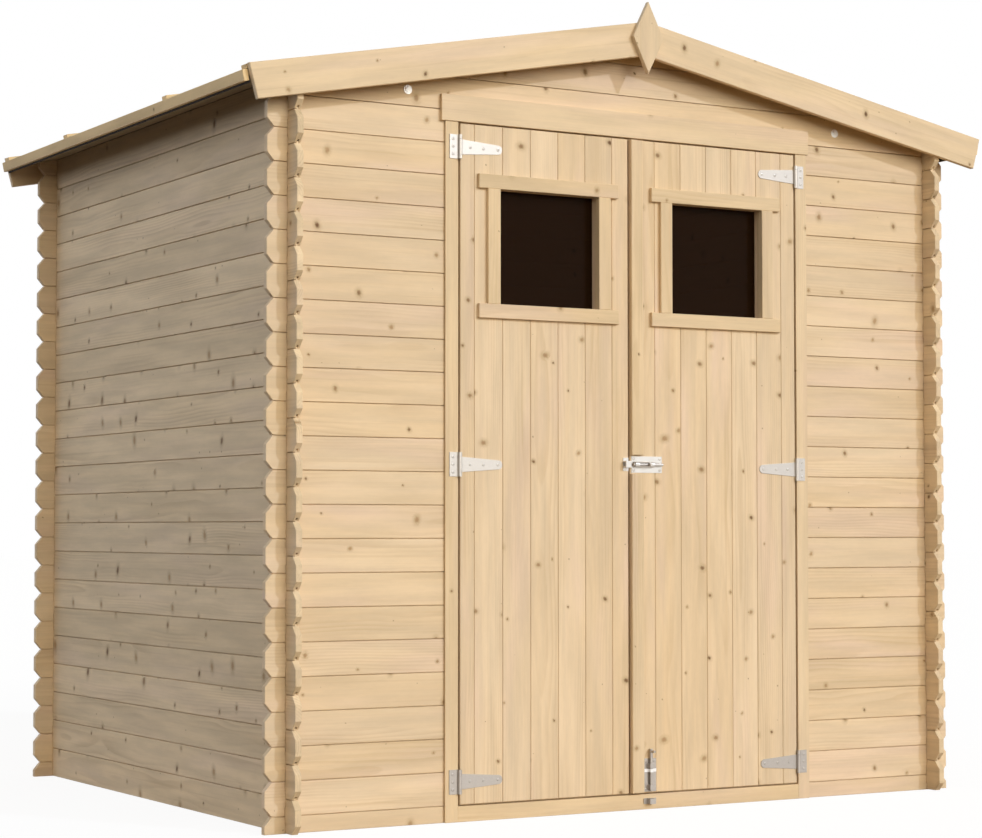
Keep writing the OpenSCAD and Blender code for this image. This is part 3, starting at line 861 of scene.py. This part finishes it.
@dataclass
class DoorFrame:
    """Door posts, header, sill and stops."""

    finishes: Finishes
    edge: float = 0.9 * MM
    play: float = 0.4 * MM
    slack: float = 2.4 * MM
    lip_before: float = 5.5 * MM
    lip_proud: float = 4 * MM
    lip_short: float = 2 * MM
    lip_rise: float = 3 * MM
    core_edge: float = 0.5 * MM
    stop_lap: float = 14 * MM
    stop_gap: float = 1.5 * MM
    stop_edge: float = 0.8 * MM

    def build(self) -> None:
        """Builds the posts, header, sill and stops."""
        for side in Side:
            self.post(side)
        self.header()
        timber = Timber("door_sill_timber", 23)
        timber.box_at(*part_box("door_sill"), Axis.X, self.edge)
        timber.make(Body.SHED, Slot.TRIM, self.finishes.trim, "door_sill")
        self.stops()

    def stops(self) -> None:
        """Laths behind the doors, which the closed doors rest against."""
        left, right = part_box("left_jamb")[1].x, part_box("right_jamb")[0].x
        low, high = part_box("door_sill")[1].z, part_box("door_header")[0].z
        near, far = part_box("left_door")[1].y + self.stop_gap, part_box("left_jamb")[1].y
        timber = Timber("door_stop_laths", 24)
        for z0, z1 in ((low, low + self.stop_lap), (high - self.stop_lap, high)):
            timber.box_at(Vector((left, near, z0)), Vector((right, far, z1)), Axis.X, self.stop_edge)
        timber.make(Body.SHED, Slot.TRIM, self.finishes.trim)

    def post(self, side: Side) -> None:
        """A door post with the groove that takes the wall boards.

        Args:
            side: which post.
        """
        node = side.node("jamb")
        lo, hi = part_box(node)
        wall_lo, wall_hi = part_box("front_gable")
        if side is Side.LEFT:
            inner, outer, stop = hi.x, lo.x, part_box("front_wall_left")[1].x
        else:
            inner, outer, stop = lo.x, hi.x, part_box("front_wall_right")[0].x
        front, back = wall_lo.y - self.slack, wall_hi.y + self.play
        groove = stop - side.value * self.play
        section = [(inner, lo.y), (inner, hi.y), (outer, hi.y), (outer, back), (groove, back),
                   (groove, front), (outer, front), (outer, lo.y)]
        timber = Timber(node + "_timber", 21 + side.value)
        timber.board_at(section, hi.z - lo.z, self.edge, Plane(UP * lo.z, RIGHT, BACK, UP), Grain.DEPTH)
        timber.make(Body.SHED, Slot.TRIM, self.finishes.trim, node)

    def header(self) -> None:
        """The header with its front lip."""
        lo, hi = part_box("door_header")
        wall_lo, wall_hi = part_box("front_gable")
        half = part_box("front_wall_right")[0].x
        lip_back = wall_lo.y - FIT
        timber = Timber("door_header_timber", 22)
        lip_lo = lo - Vector((self.lip_before, self.lip_proud, 0))
        lip_hi = Vector((hi.x - self.lip_short, lip_back, hi.z + self.lip_rise))
        timber.box_at(lip_lo, lip_hi, Axis.X, self.edge)
        core_hi = Vector((half, wall_hi.y, wall_lo.z - FIT))
        timber.box_at(Vector((-half, lip_back, lo.z)), core_hi, Axis.X, self.core_edge)
        timber.make(Body.SHED, Slot.TRIM, self.finishes.trim, "door_header")


@dataclass
class DoorLeaf:
    """One boarded door with its ledges, window and trim. Its seams are given in millimetres."""

    finishes: Finishes
    side: Side
    body: Body
    seams: list[float]
    seed: int
    edge: float = 1.5 * MM
    gap: float = 0.35 * MM
    end_over: float = 1.0 * MM
    tongue_half: float = 3 * MM
    tongue_edge: float = 0.3 * MM
    ledge_w: float = 70 * MM
    brace_w: float = 58 * MM
    rim: float = 38 * MM
    lift: float = 4.8 * MM
    trim_edge: float = 1.2 * MM
    trim_long: float = 5 * MM
    trim_proud: float = 3.5 * MM
    trim_slip: float = 0.0
    bead_edge: float = 0.6 * MM
    pane_room: float = 0.2 * MM

    def build(self) -> None:
        """Builds the boards, ledges, trim, inner frame and pane."""
        self.boards()
        self.ledges()
        self.trim()
        self.beads()
        dress(self.side.node("pane"), self.finishes.glass)

    def window(self) -> tuple[float, float, float, float]:
        """The opening's left, right, lower and upper edges, from the frame around it."""
        lo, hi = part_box(self.side.node("window_beads"))
        return lo.x + self.rim, hi.x - self.rim, lo.z + self.rim + self.lift, hi.z - self.rim + self.lift

    def boards(self) -> None:
        """The upright door boards, cut round the window, with tongues in their seams."""
        node = self.side.node("door")
        lo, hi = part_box(node)
        x0, x1, z0, z1 = self.window()
        plane = Plane(BACK * lo.y, UP, RIGHT, BACK)
        timber = Timber(node + "_boards", self.seed)
        sides = [lo.x] + [s * MM for s in self.seams] + [hi.x]
        for a, b in zip(sides, sides[1:]):
            a, b = a + (self.gap if a > lo.x else 0), b - (self.gap if b < hi.x else 0)
            for outline in self.round_window((lo.z - self.end_over, hi.z + self.end_over), a, b):
                timber.board_at(outline, hi.y - lo.y, self.edge, plane)
        third = (hi.y - lo.y) / 3
        inner = Plane(plane.point(0, 0, third), plane.along, plane.across, plane.depth)
        for x in sides[1:-1]:
            spans = [(lo.z, z0), (z1, hi.z)] if x0 - MM < x < x1 + MM else [(lo.z, hi.z)]
            for foot, head in spans:
                strip = rectangle(foot + MM, head - MM, x - self.tongue_half, x + self.tongue_half)
                timber.board_at(strip, third, self.tongue_edge, inner)
        timber.make(self.body, Slot.TRIM, self.finishes.door, node)

    def round_window(self, ends: Point2, a: float, b: float) -> list[Outline]:
        """An upright board, cut where the window opening takes part of it.

        Args:
            ends: lower and upper end.
            a: left side.
            b: right side.

        Returns:
            One or two outlines, upright along the first coordinate.
        """
        low, high = ends
        x0, x1, z0, z1 = self.window()
        if b <= x0 or a >= x1:
            return [rectangle(low, high, a, b)]
        if a >= x0 and b <= x1:
            return [rectangle(low, z0, a, b), rectangle(z1, high, a, b)]
        if a < x0:
            return [[(low, a), (high, a), (high, b), (z1, b), (z1, x0), (z0, x0), (z0, b), (low, b)]]
        return [[(low, a), (z0, a), (z0, x1), (z1, x1), (z1, a), (high, a), (high, b), (low, b)]]

    def ledges(self) -> None:
        """Three ledges and a brace behind the boards."""
        node = self.side.node("door_ledges")
        lo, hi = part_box(node)
        door_lo, door_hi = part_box(self.side.node("door"))
        half = self.ledge_w / 2
        middle = (door_lo.z + door_hi.z) / 2 - MIDDLE_DROP
        timber = Timber(node + "_timber", self.seed + 1)
        for z in (lo.z + half, middle, hi.z - half):
            timber.box_at(Vector((lo.x, lo.y, z - half)), Vector((hi.x, hi.y, z + half)), Axis.X, self.edge)
        low, high = lo.z + self.ledge_w + FIT, middle - half - FIT
        hinge_x, free_x = (lo.x, hi.x) if self.side is Side.LEFT else (hi.x, lo.x)
        step = self.brace_w if free_x > hinge_x else -self.brace_w
        run, rise = free_x - step - hinge_x, high - low
        length = math.hypot(run, rise)
        along = Vector((run / length, 0, rise / length))
        across = Vector((-along.z, 0, along.x))
        corners = [(0, 0), (step, 0), (step + run, rise), (run, rise)]
        brace = [(x * along.x + z * along.z, x * across.x + z * across.z) for x, z in corners]
        plane = Plane(Vector((hinge_x, lo.y, low)), along, across, BACK)
        timber.board_at(brace, hi.y - lo.y, self.edge, plane)
        timber.make(self.body, Slot.INNER, self.finishes.inner, node)

    def trim(self) -> None:
        """The laths around the window."""
        node = self.side.node("window_trim")
        lo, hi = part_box(node)
        x0, x1, z0, z1 = self.window()
        timber = Timber(node + "_laths", self.seed + 2)
        stiles = ((x0 - self.rim - self.trim_slip, x0 - self.trim_slip), (x1, x1 + self.rim))
        timber.frame_at((lo.x - self.trim_long, hi.x), stiles, (lo.z + self.lift, z0, z1, hi.z + self.lift),
                        (lo.y - self.trim_proud, hi.y), self.trim_edge)
        timber.make(self.body, Slot.TRIM, self.finishes.trim, node)

    def beads(self) -> None:
        """The inner frame that holds the pane: in front of it, behind it and around it."""
        node = self.side.node("window_beads")
        lo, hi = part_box(node)
        x0, x1, z0, z1 = self.window()
        pane_lo, pane_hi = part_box(self.side.node("pane"))
        near, far = pane_lo.y - self.pane_room, pane_hi.y + self.pane_room
        rails = (lo.x, hi.x)
        timber = Timber(node + "_laths", self.seed + 3)
        for depths in ((lo.y, near), (far, hi.y)):
            timber.frame_at(rails, ((lo.x, x0), (x1, hi.x)), (lo.z, z0, z1, hi.z), depths, self.bead_edge)
        timber.frame_at(rails, ((lo.x, pane_lo.x - FIT), (pane_hi.x + FIT, hi.x)),
                        (lo.z, pane_lo.z - FIT, pane_hi.z + FIT, hi.z), (near, far), FIT, FIT)
        timber.make(self.body, Slot.INNER, self.finishes.bead, node)


@dataclass
class MeetingStrip:
    """The cover strip on the right door's free edge."""

    finishes: Finishes
    room: float = 3 * MM
    edge: float = 1.5 * MM

    def build(self) -> None:
        """Builds the strip in two lengths, above and below the latch."""
        lo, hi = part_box("meeting_strip")
        latch_lo, latch_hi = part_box("latch_plate")
        timber = Timber("meeting_strip_laths", 41)
        timber.box_at(lo, Vector((hi.x, hi.y, latch_lo.z - self.room)), Axis.Z, self.edge)
        timber.box_at(Vector((lo.x, lo.y, latch_hi.z + self.room)), hi, Axis.Z, self.edge)
        timber.make(Body.RIGHT_DOOR, Slot.TRIM, self.finishes.trim, "meeting_strip")


@dataclass
class Ironmongery:
    """Hinges, latch, floor bolt and tie bolts: the CAD solids, dressed, with screw heads."""

    finishes: Finishes
    screw_r: float = 4.2 * MM
    screw_h: float = 1.3 * MM
    screw_steps: int = 16
    screw_profile: tuple[Point2, ...] = ((1.0, 0.0), (0.94, 0.45), (0.72, 0.82), (0.45, 1.0))
    recess_wide: float = 0.34
    recess_slim: float = 0.13
    recess_rise: float = 0.45
    hinge_t: float = 2.5 * MM
    leaf_half: float = 32 * MM
    leaf_in: float = 10 * MM
    leaf_step: float = 20 * MM
    strap_in: Point3 = (13 * MM, 58 * MM, 98 * MM)
    plate_t: float = 2 * MM
    plate_in: float = 7 * MM
    rod_r: float = 4.5 * MM
    rod_gap: float = 1.5 * MM
    band_t: float = 1.2 * MM
    band_room: float = 1.0 * MM
    band_z: float = 101 * MM
    band_h: float = 9 * MM
    band_edge: float = 0.2 * MM
    band_steps: int = 12
    bright: tuple[str, ...] = (
        "left_hinge_leaves", "right_hinge_leaves", "left_hinge_straps", "right_hinge_straps", "latch_rod",
        "floor_bolt_plate", "floor_bolt_rod", "floor_bolt_keeper")
    plated: tuple[str, ...] = ("latch_plate", "latch_keeper")

    def build(self) -> None:
        """Dresses the metal nodes and adds the screw heads and the floor bolt's band."""
        for node in self.bright:
            dress(node, self.finishes.zinc)
        for node in self.plated:
            dress(node, self.finishes.plate)
        # The tie bolts take the brighter zinc: painted light where the bargeboard shades them.
        dress("gable_tie_bolts", self.finishes.painted_light_zinc)
        self.hinge_screws(Side.LEFT, Body.LEFT_DOOR)
        self.hinge_screws(Side.RIGHT, Body.RIGHT_DOOR)
        self.plate_screws()
        self.bolt_band()

    def plate_face(self) -> float:
        """Where the front of the plates on the right door lies."""
        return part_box("right_door")[0].y - self.plate_t

    def bolt_band(self) -> None:
        """A pressed band across the floor bolt's plate, arched over the rod."""
        lo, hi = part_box("floor_bolt_plate")
        middle, thick = (lo.x + hi.x) / 2, self.band_t
        half = self.rod_r + self.band_room
        wide = half + thick
        straight = self.rod_gap + 2 * self.rod_r + self.band_room - half
        turns = [math.pi * (1 - i / self.band_steps) for i in range(self.band_steps + 1)]
        over, under = ([(middle + r * math.cos(t), straight + r * math.sin(t)) for t in turns]
                       for r in (wide, half))
        outline = [(lo.x, 0.0), (lo.x, thick), (middle - wide, thick), *over, (middle + wide, thick),
                   (hi.x, thick), (hi.x, 0.0), (middle + half, 0.0), *under[::-1], (middle - half, 0.0)]
        plane = Plane(Vector((0, self.plate_face(), self.band_z)), RIGHT, -BACK, UP)
        band = Timber("floor_bolt_band", 91)
        band.board_at(outline, self.band_h, self.band_edge, plane)
        # The band takes the brighter zinc: painted light.
        band.make(Body.RIGHT_DOOR, Slot.ZINC, self.finishes.painted_light_zinc)

    def heads(self, name: str, body: Body, places: list[Vector]) -> None:
        """Low round screw heads with a cross recess, facing -Y.

        Args:
            name: the piece's name.
            body: what the screws ride on.
            places: middles of the heads on the plates.
        """
        steps = range(self.screw_steps)
        rings = [([share for _ in steps], rise) for share, rise in self.screw_profile]
        rings.append(([self.recess_slim if i % 4 else self.recess_wide for i in steps], self.recess_rise))
        screws = Timber(name)
        for place in places:
            first = len(screws.verts)
            for shares, rise in rings:
                for i, share in enumerate(shares):
                    turn, reach = 2 * math.pi * i / self.screw_steps, self.screw_r * share
                    x, z = place.x + reach * math.cos(turn), place.z + reach * math.sin(turn)
                    screws.verts.append(Vector((x, place.y - self.screw_h * rise, z)))
            screws.close(first, self.screw_steps)
        screws.make(body, Slot.ZINC, self.finishes.zinc)

    def hinge_screws(self, side: Side, body: Body) -> None:
        """Screws of the three hinges on one side.

        Args:
            side: which side.
            body: the door that the straps ride on.
        """
        leaf_lo, leaf_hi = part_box(side.node("hinge_leaves"))
        strap_lo, strap_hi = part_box(side.node("hinge_straps"))
        door_lo, door_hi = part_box(side.node("door"))
        middle = (door_lo.z + door_hi.z) / 2 - MIDDLE_DROP
        heights = (leaf_lo.z + self.leaf_half, middle, leaf_hi.z - self.leaf_half)
        outer, tip = (leaf_hi.x, strap_lo.x) if side is Side.RIGHT else (leaf_lo.x, strap_hi.x)
        face, row = door_lo.y - self.hinge_t, outer - side.value * self.leaf_in
        fixed = [Vector((row, face, z + dz)) for z in heights for dz in (-self.leaf_step, 0, self.leaf_step)]
        moving = [Vector((tip + side.value * dx, face, z)) for z in heights for dx in self.strap_in]
        self.heads(side.node("hinge_leaf_screws"), Body.SHED, fixed)
        self.heads(side.node("hinge_strap_screws"), body, moving)

    def plate_screws(self) -> None:
        """Screws of the latch and the floor bolt."""
        face, inward = self.plate_face(), self.plate_in
        places: list[Vector] = []
        for node in ("latch_plate", "floor_bolt_plate"):
            lo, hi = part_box(node)
            places += [Vector((x, face, z)) for x in (lo.x + inward, hi.x - inward)
                       for z in (lo.z + inward, hi.z - inward)]
        self.heads("bolt_plate_screws", Body.RIGHT_DOOR, places)


@dataclass
class Roof:
    """Roof boards, felt, battens, eave strips, bargeboards, finials and the ridge purlin."""

    finishes: Finishes
    edge: float = 1.2 * MM
    wide_edge: float = 1.5 * MM
    deck_t: float = 16 * MM
    deck_board: float = 88 * MM
    felt_t: float = 2 * MM
    batten_t: float = 12 * MM
    batten_w: float = 30 * MM
    batten_y: float = 0.375
    batten_over: float = 2 * MM
    batten_edge: float = 1.0 * MM
    barge_h: float = 92 * MM
    barge_rise: float = 15 * MM
    barge_rake: float = 7.5 * MM
    barge_over: float = 3 * MM
    eave_t: float = 15 * MM
    eave_h: float = 29 * MM
    eave_rise: float = 1 * MM
    hem_drop: float = 5.5 * MM
    hem_t: float = 1.6 * MM
    hem_lap: float = 0.1 * MM
    finial_aside: float = -3.5 * MM
    finial_wider: float = 4 * MM
    length: float = 0.0
    ridge: float = 0.0
    half_d: float = 0.0

    def build(self) -> None:
        """Builds every roof piece."""
        deck_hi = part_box("right_roof_deck")[1]
        self.half_d = deck_hi.y
        self.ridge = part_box("ridge_purlin")[1].z + FIT
        self.length = (deck_hi.x - self.deck_t * math.sin(ROOF_ANGLE)) / math.cos(ROOF_ANGLE)
        for side in Side:
            self.deck(side)
            self.battens(side)
            self.eave(side)
            dress(side.node("roof_felt"), self.finishes.felt)
        for place, seed in (("front", 61), ("back", 62)):
            self.bargeboards(place, seed)
            self.finial(place, seed + 10)
        self.purlin()

    def purlin(self) -> None:
        """The purlin under the ridge, with a roof-shaped top."""
        lo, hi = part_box("ridge_purlin")
        half = hi.x
        side_z = self.ridge - half * math.tan(ROOF_ANGLE) - FIT
        section = [(-half, lo.z), (half, lo.z), (half, side_z), (0, hi.z), (-half, side_z)]
        timber = Timber("ridge_purlin_timber", 71)
        plane = Plane(BACK * lo.y, RIGHT, UP, BACK)
        timber.board_at(section, hi.y - lo.y, self.wide_edge, plane, Grain.DEPTH)
        timber.make(Body.SHED, Slot.INNER, self.finishes.inner, "ridge_purlin")

    @staticmethod
    def slope(side: Side) -> tuple[Vector, Vector]:
        """The direction down a side's slope, and the direction up from it."""
        s, c = math.sin(ROOF_ANGLE), math.cos(ROOF_ANGLE)
        return Vector((side.value * c, 0, -s)), Vector((side.value * s, 0, c))

    @staticmethod
    def layer_start(rise: float) -> float:
        """Where a layer starts at the ridge, for a height above the roof boards' underside."""
        return FIT - rise * math.tan(ROOF_ANGLE)

    def deck(self, side: Side) -> None:
        """Roof boards that run from ridge to eave.

        Args:
            side: which slope.
        """
        down, up = self.slope(side)
        node = side.node("roof_deck")
        timber = Timber(node + "_boards", 51 + side.value)
        plane = Plane(UP * self.ridge, down, BACK, up)
        count = round(2 * self.half_d / self.deck_board)
        width = 2 * self.half_d / count
        for i in range(count):
            y = -self.half_d + i * width
            low, high = y + (FIT if i else 0), y + width - (FIT if i < count - 1 else 0)
            outline = rectangle(self.layer_start(0), self.length, low, high)
            timber.board_at(outline, self.deck_t, self.edge, plane)
        # Their finish is darkened: painted shade under the eaves.
        timber.make(Body.SHED, Slot.ROOF, self.finishes.roof, node)

    def battens(self, side: Side) -> None:
        """Battens over the felt.

        Args:
            side: which slope.
        """
        down, up = self.slope(side)
        timber = Timber(side.node("roof_batten_laths"), 54 + side.value)
        low, half = self.deck_t + self.felt_t, self.batten_w / 2
        plane = Plane(UP * self.ridge + up * low, down, BACK, up)
        end = self.half_d - half
        for y in (-end, -self.batten_y, self.batten_y, end):
            outline = rectangle(self.layer_start(low), self.length + self.batten_over, y - half, y + half)
            timber.board_at(outline, self.batten_t, self.batten_edge, plane)
        timber.make(Body.SHED, Slot.ROOF, self.finishes.eave, side.node("roof_battens"))

    def eave(self, side: Side) -> None:
        """The strip along the eave, and the felt's hem that hangs below it.

        Args:
            side: which slope.
        """
        down, up = self.slope(side)
        node = side.node("eave_strip")
        top = self.deck_t + self.eave_rise
        foot = top - self.eave_h
        plane = Plane(UP * self.ridge + down * self.length, BACK, up, down)
        timber = Timber(node + "_lath", 57 + side.value)
        timber.board_at(rectangle(-self.half_d, self.half_d, foot, top), self.eave_t, self.edge, plane)
        timber.make(Body.SHED, Slot.ROOF, self.finishes.eave, node)
        behind = Plane(plane.point(0, 0, self.hem_lap), plane.along, plane.across, -plane.depth)
        hem = Timber(side.node("felt_hem"), 59 + side.value)
        outline = rectangle(-self.half_d, self.half_d, foot - self.hem_drop, 0.0)
        hem.board_at(outline, self.hem_t, FIT, behind)
        hem.make(Body.SHED, Slot.FELT, self.finishes.felt)

    def bargeboards(self, place: str, seed: int) -> None:
        """A pair of bargeboards, mitred at the ridge.

        Args:
            place: front or back.
            seed: starts the draw of tones.
        """
        node = place + "_bargeboards"
        lo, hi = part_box(node)
        top = self.deck_t + self.barge_rise
        low = top - self.barge_h
        timber = Timber(node + "_timber", seed)
        for side in Side:
            down, up = self.slope(side)
            end = self.length + (self.barge_over if side is Side.RIGHT else 0.0)
            outline = [(self.layer_start(low), low), (end - self.barge_rake, low), (end, top),
                       (self.layer_start(top), top)]
            plane = Plane(Vector((0, lo.y, self.ridge)), down, up, BACK)
            timber.board_at(outline, hi.y - lo.y, self.wide_edge, plane)
        timber.make(Body.SHED, Slot.TRIM, self.finishes.barge, node)

    def finial(self, place: str, seed: int) -> None:
        """The diamond over the joint of the bargeboards.

        Args:
            place: front or back.
            seed: starts the draw of tones.
        """
        node = place + "_finial"
        lo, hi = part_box(node)
        middle, aside = (lo.z + hi.z) / 2, self.finial_aside
        outline = [(lo.z, aside), (middle, hi.x + aside + self.finial_wider), (hi.z, aside),
                   (middle, lo.x + aside - self.finial_wider)]
        timber = Timber(node + "_timber", seed)
        timber.board_at(outline, hi.y - lo.y, self.edge, Plane(BACK * lo.y, UP, RIGHT, BACK))
        timber.make(Body.SHED, Slot.TRIM, self.finishes.trim, node)


@dataclass
class FloorDeck:
    """Floor boards on joists."""

    finishes: Finishes
    board: float = 90 * MM
    board_edge: float = 1.2 * MM
    joist_w: float = 45 * MM
    joist_edge: float = 1.5 * MM
    joists: int = 5

    def build(self) -> None:
        """Builds the floor boards and the joists."""
        lo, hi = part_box("floor_boards")
        timber = Timber("floor_boards_laid", 81)
        count = round((hi.y - lo.y) / self.board)
        width = (hi.y - lo.y) / count
        for i in range(count):
            low = lo.y + i * width + FIT
            board_hi = Vector((hi.x, low + width - 2 * FIT, hi.z))
            timber.box_at(Vector((lo.x, low, lo.z)), board_hi, Axis.X, self.board_edge)
        timber.make(Body.SHED, Slot.INNER, self.finishes.inner, "floor_boards")
        lo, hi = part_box("floor_joists")
        timber = Timber("floor_joist_timber", 82)
        step = (hi.x - lo.x - self.joist_w) / (self.joists - 1)
        for i in range(self.joists):
            x = lo.x + i * step
            joist_hi = Vector((x + self.joist_w, hi.y, hi.z))
            timber.box_at(Vector((x, lo.y, lo.z)), joist_hi, Axis.Y, self.joist_edge)
        timber.make(Body.SHED, Slot.INNER, self.finishes.inner, "floor_joists")


@dataclass(frozen=True)
class Lamp:
    """A far lamp: where its light travels, how strong it is, how wide it looks, and its colour."""

    name: str
    way: Point3
    strength: float
    angle: float
    tint: Colour

    def hang(self, scene: bpy.types.Scene) -> None:
        """Puts the lamp into a scene.

        Args:
            scene: takes the lamp.
        """
        data = bpy.data.lights.new(self.name, "SUN")
        data.energy, data.angle, data.color = self.strength, self.angle, self.tint
        lamp = bpy.data.objects.new(self.name, data)
        lamp.rotation_mode = "QUATERNION"
        lamp.rotation_quaternion = Vector(self.way).to_track_quat("-Z", "Y")
        scene.collection.objects.link(lamp)


@dataclass
class Studio:
    """Pale floor, soft light and the camera of the photograph."""

    lamps: tuple[Lamp, ...] = (
        Lamp("low_sun", (-0.420, 0.792, -0.444), 0.85, math.radians(1.5), (0.89, 1.0, 1.22)),
        Lamp("front_fill", (-0.10, 0.97, -0.21), 1.00, math.radians(32), (1.07, 1.0, 0.84)))
    overhead: Colour = (0.10, 0.10, 0.11)
    glow_front: Colour = (1.49, 1.41, 1.20)
    glow_near_left: Colour = (1.03, 0.90, 0.68)
    glow_far_left: Colour = (1.37, 1.56, 1.90)
    ground_front: Colour = (0.28, 0.17, 0.06)
    ground_left: Colour = (0.035, 0.025, 0.016)
    floor_half: float = 60.0
    floor_grey: Colour = (0.14, 0.14, 0.14)
    floor_glow: float = 0.90
    white: Colour = (1.0, 1.0, 1.0)
    eye: Point3 = (-3.7096, -6.4206, 0.7638)
    yaw: float = math.radians(30.3001)
    pitch: float = math.radians(2.5891)
    focal_px: float = 2437.47
    image_w: int = 982
    sensor_w: float = 36.0
    view_end: float = 200.0

    def build(self) -> None:
        """Sets up view transform, world, light, floor and camera."""
        scene = bpy.context.scene
        scene.view_settings.view_transform = "Standard"
        self.world(scene)
        for lamp in self.lamps:
            lamp.hang(scene)
        self.floor(scene)
        self.camera(scene)

    def world(self, scene: bpy.types.Scene) -> None:
        """A sky that is bright up to halfway, and shows white to the camera.

        Args:
            scene: takes the world.
        """
        n = Nodes(bpy.data.worlds.new("broad_sky"))
        x, y, z = n.parts(n.add("ShaderNodeTexCoord").outputs["Generated"])
        band = n.times(n.ramp(z, -0.03, 0.06), n.ramp(z, 0.64, 0.48))
        left = n.mix(n.ramp(y, -0.5, 0.3), self.glow_near_left, self.glow_far_left)
        glow = n.mix(n.ramp(x, -0.15, -0.75), self.glow_front, left)
        sky = n.mix(band, self.overhead, glow)
        shown = n.mix(self.seen(n), sky, self.white)
        scene.world = n.surface(n.add("ShaderNodeBackground", {"Color": shown}))

    @staticmethod
    def seen(n: Nodes) -> Socket:
        """1 where the camera sees a place straight on, in metal or through glass."""
        path = n.add("ShaderNodeLightPath").outputs
        return n.math("MAXIMUM", path["Is Camera Ray"],
                      n.math("MAXIMUM", path["Is Glossy Ray"], path["Is Transmission Ray"]))

    def floor(self, scene: bpy.types.Scene) -> None:
        """A wide pale floor that keeps a light shadow.

        Args:
            scene: takes the floor.
        """
        half = self.floor_half
        corners = [(x, y, 0) for x, y in rectangle(-half, half, -half, half)]
        mesh = bpy.data.meshes.new("studio_floor")
        mesh.from_pydata(corners, [], [[0, 1, 2, 3]])
        floor = bpy.data.objects.new("studio_floor", mesh)
        scene.collection.objects.link(floor)
        n = Nodes(bpy.data.materials.new("pale_floor"))
        seen = self.seen(n)
        ground = n.mix(n.ramp(n.parts(n.place())[0], -2.0, -0.9), self.ground_left, self.ground_front)
        pale = n.add("ShaderNodeBsdfDiffuse", {"Color": n.mix(seen, ground, self.floor_grey)})
        glow = {"Color": (*self.white, 1.0), "Strength": n.times(seen, self.floor_glow)}
        white = n.add("ShaderNodeEmission", glow)
        mix = n.add("ShaderNodeAddShader", {0: pale.outputs[0], 1: white.outputs[0]})
        mesh.materials.append(n.surface(mix))

    def camera(self, scene: bpy.types.Scene) -> None:
        """The camera at the photograph's viewing angle.

        Args:
            scene: takes the camera.
        """
        data = bpy.data.cameras.new("photo_view")
        data.sensor_width = self.sensor_w
        data.lens = self.sensor_w * self.focal_px / self.image_w
        data.clip_end = self.view_end
        camera = bpy.data.objects.new("photo_view", data)
        level = math.cos(self.pitch)
        ahead = Vector((math.sin(self.yaw) * level, math.cos(self.yaw) * level, math.sin(self.pitch)))
        camera.location = self.eye
        camera.rotation_mode = "QUATERNION"
        camera.rotation_quaternion = ahead.to_track_quat("-Z", "Y")
        scene.collection.objects.link(camera)
        scene.camera = camera


def main() -> None:
    """Builds the shed's pieces in order."""
    logging.basicConfig(level=logging.INFO, format="%(name)s: %(message)s")
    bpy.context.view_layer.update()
    finishes = Finishes.build()
    left_seams = [-506.7, -420.0, -333.3, -246.6, -159.9, -73.2]
    right_seams = [67.5, 154.3, 241.1, 327.9, 414.7, 501.5]
    Walls(finishes).build()
    DoorFrame(finishes).build()
    DoorLeaf(finishes, Side.LEFT, Body.LEFT_DOOR, left_seams, 31, trim_slip=3 * MM).build()
    DoorLeaf(finishes, Side.RIGHT, Body.RIGHT_DOOR, right_seams, 35).build()
    MeetingStrip(finishes).build()
    Ironmongery(finishes).build()
    Roof(finishes).build()
    FloorDeck(finishes).build()
    Studio().build()
    bpy.context.view_layer.update()


if __name__ == "__main__":
    main()
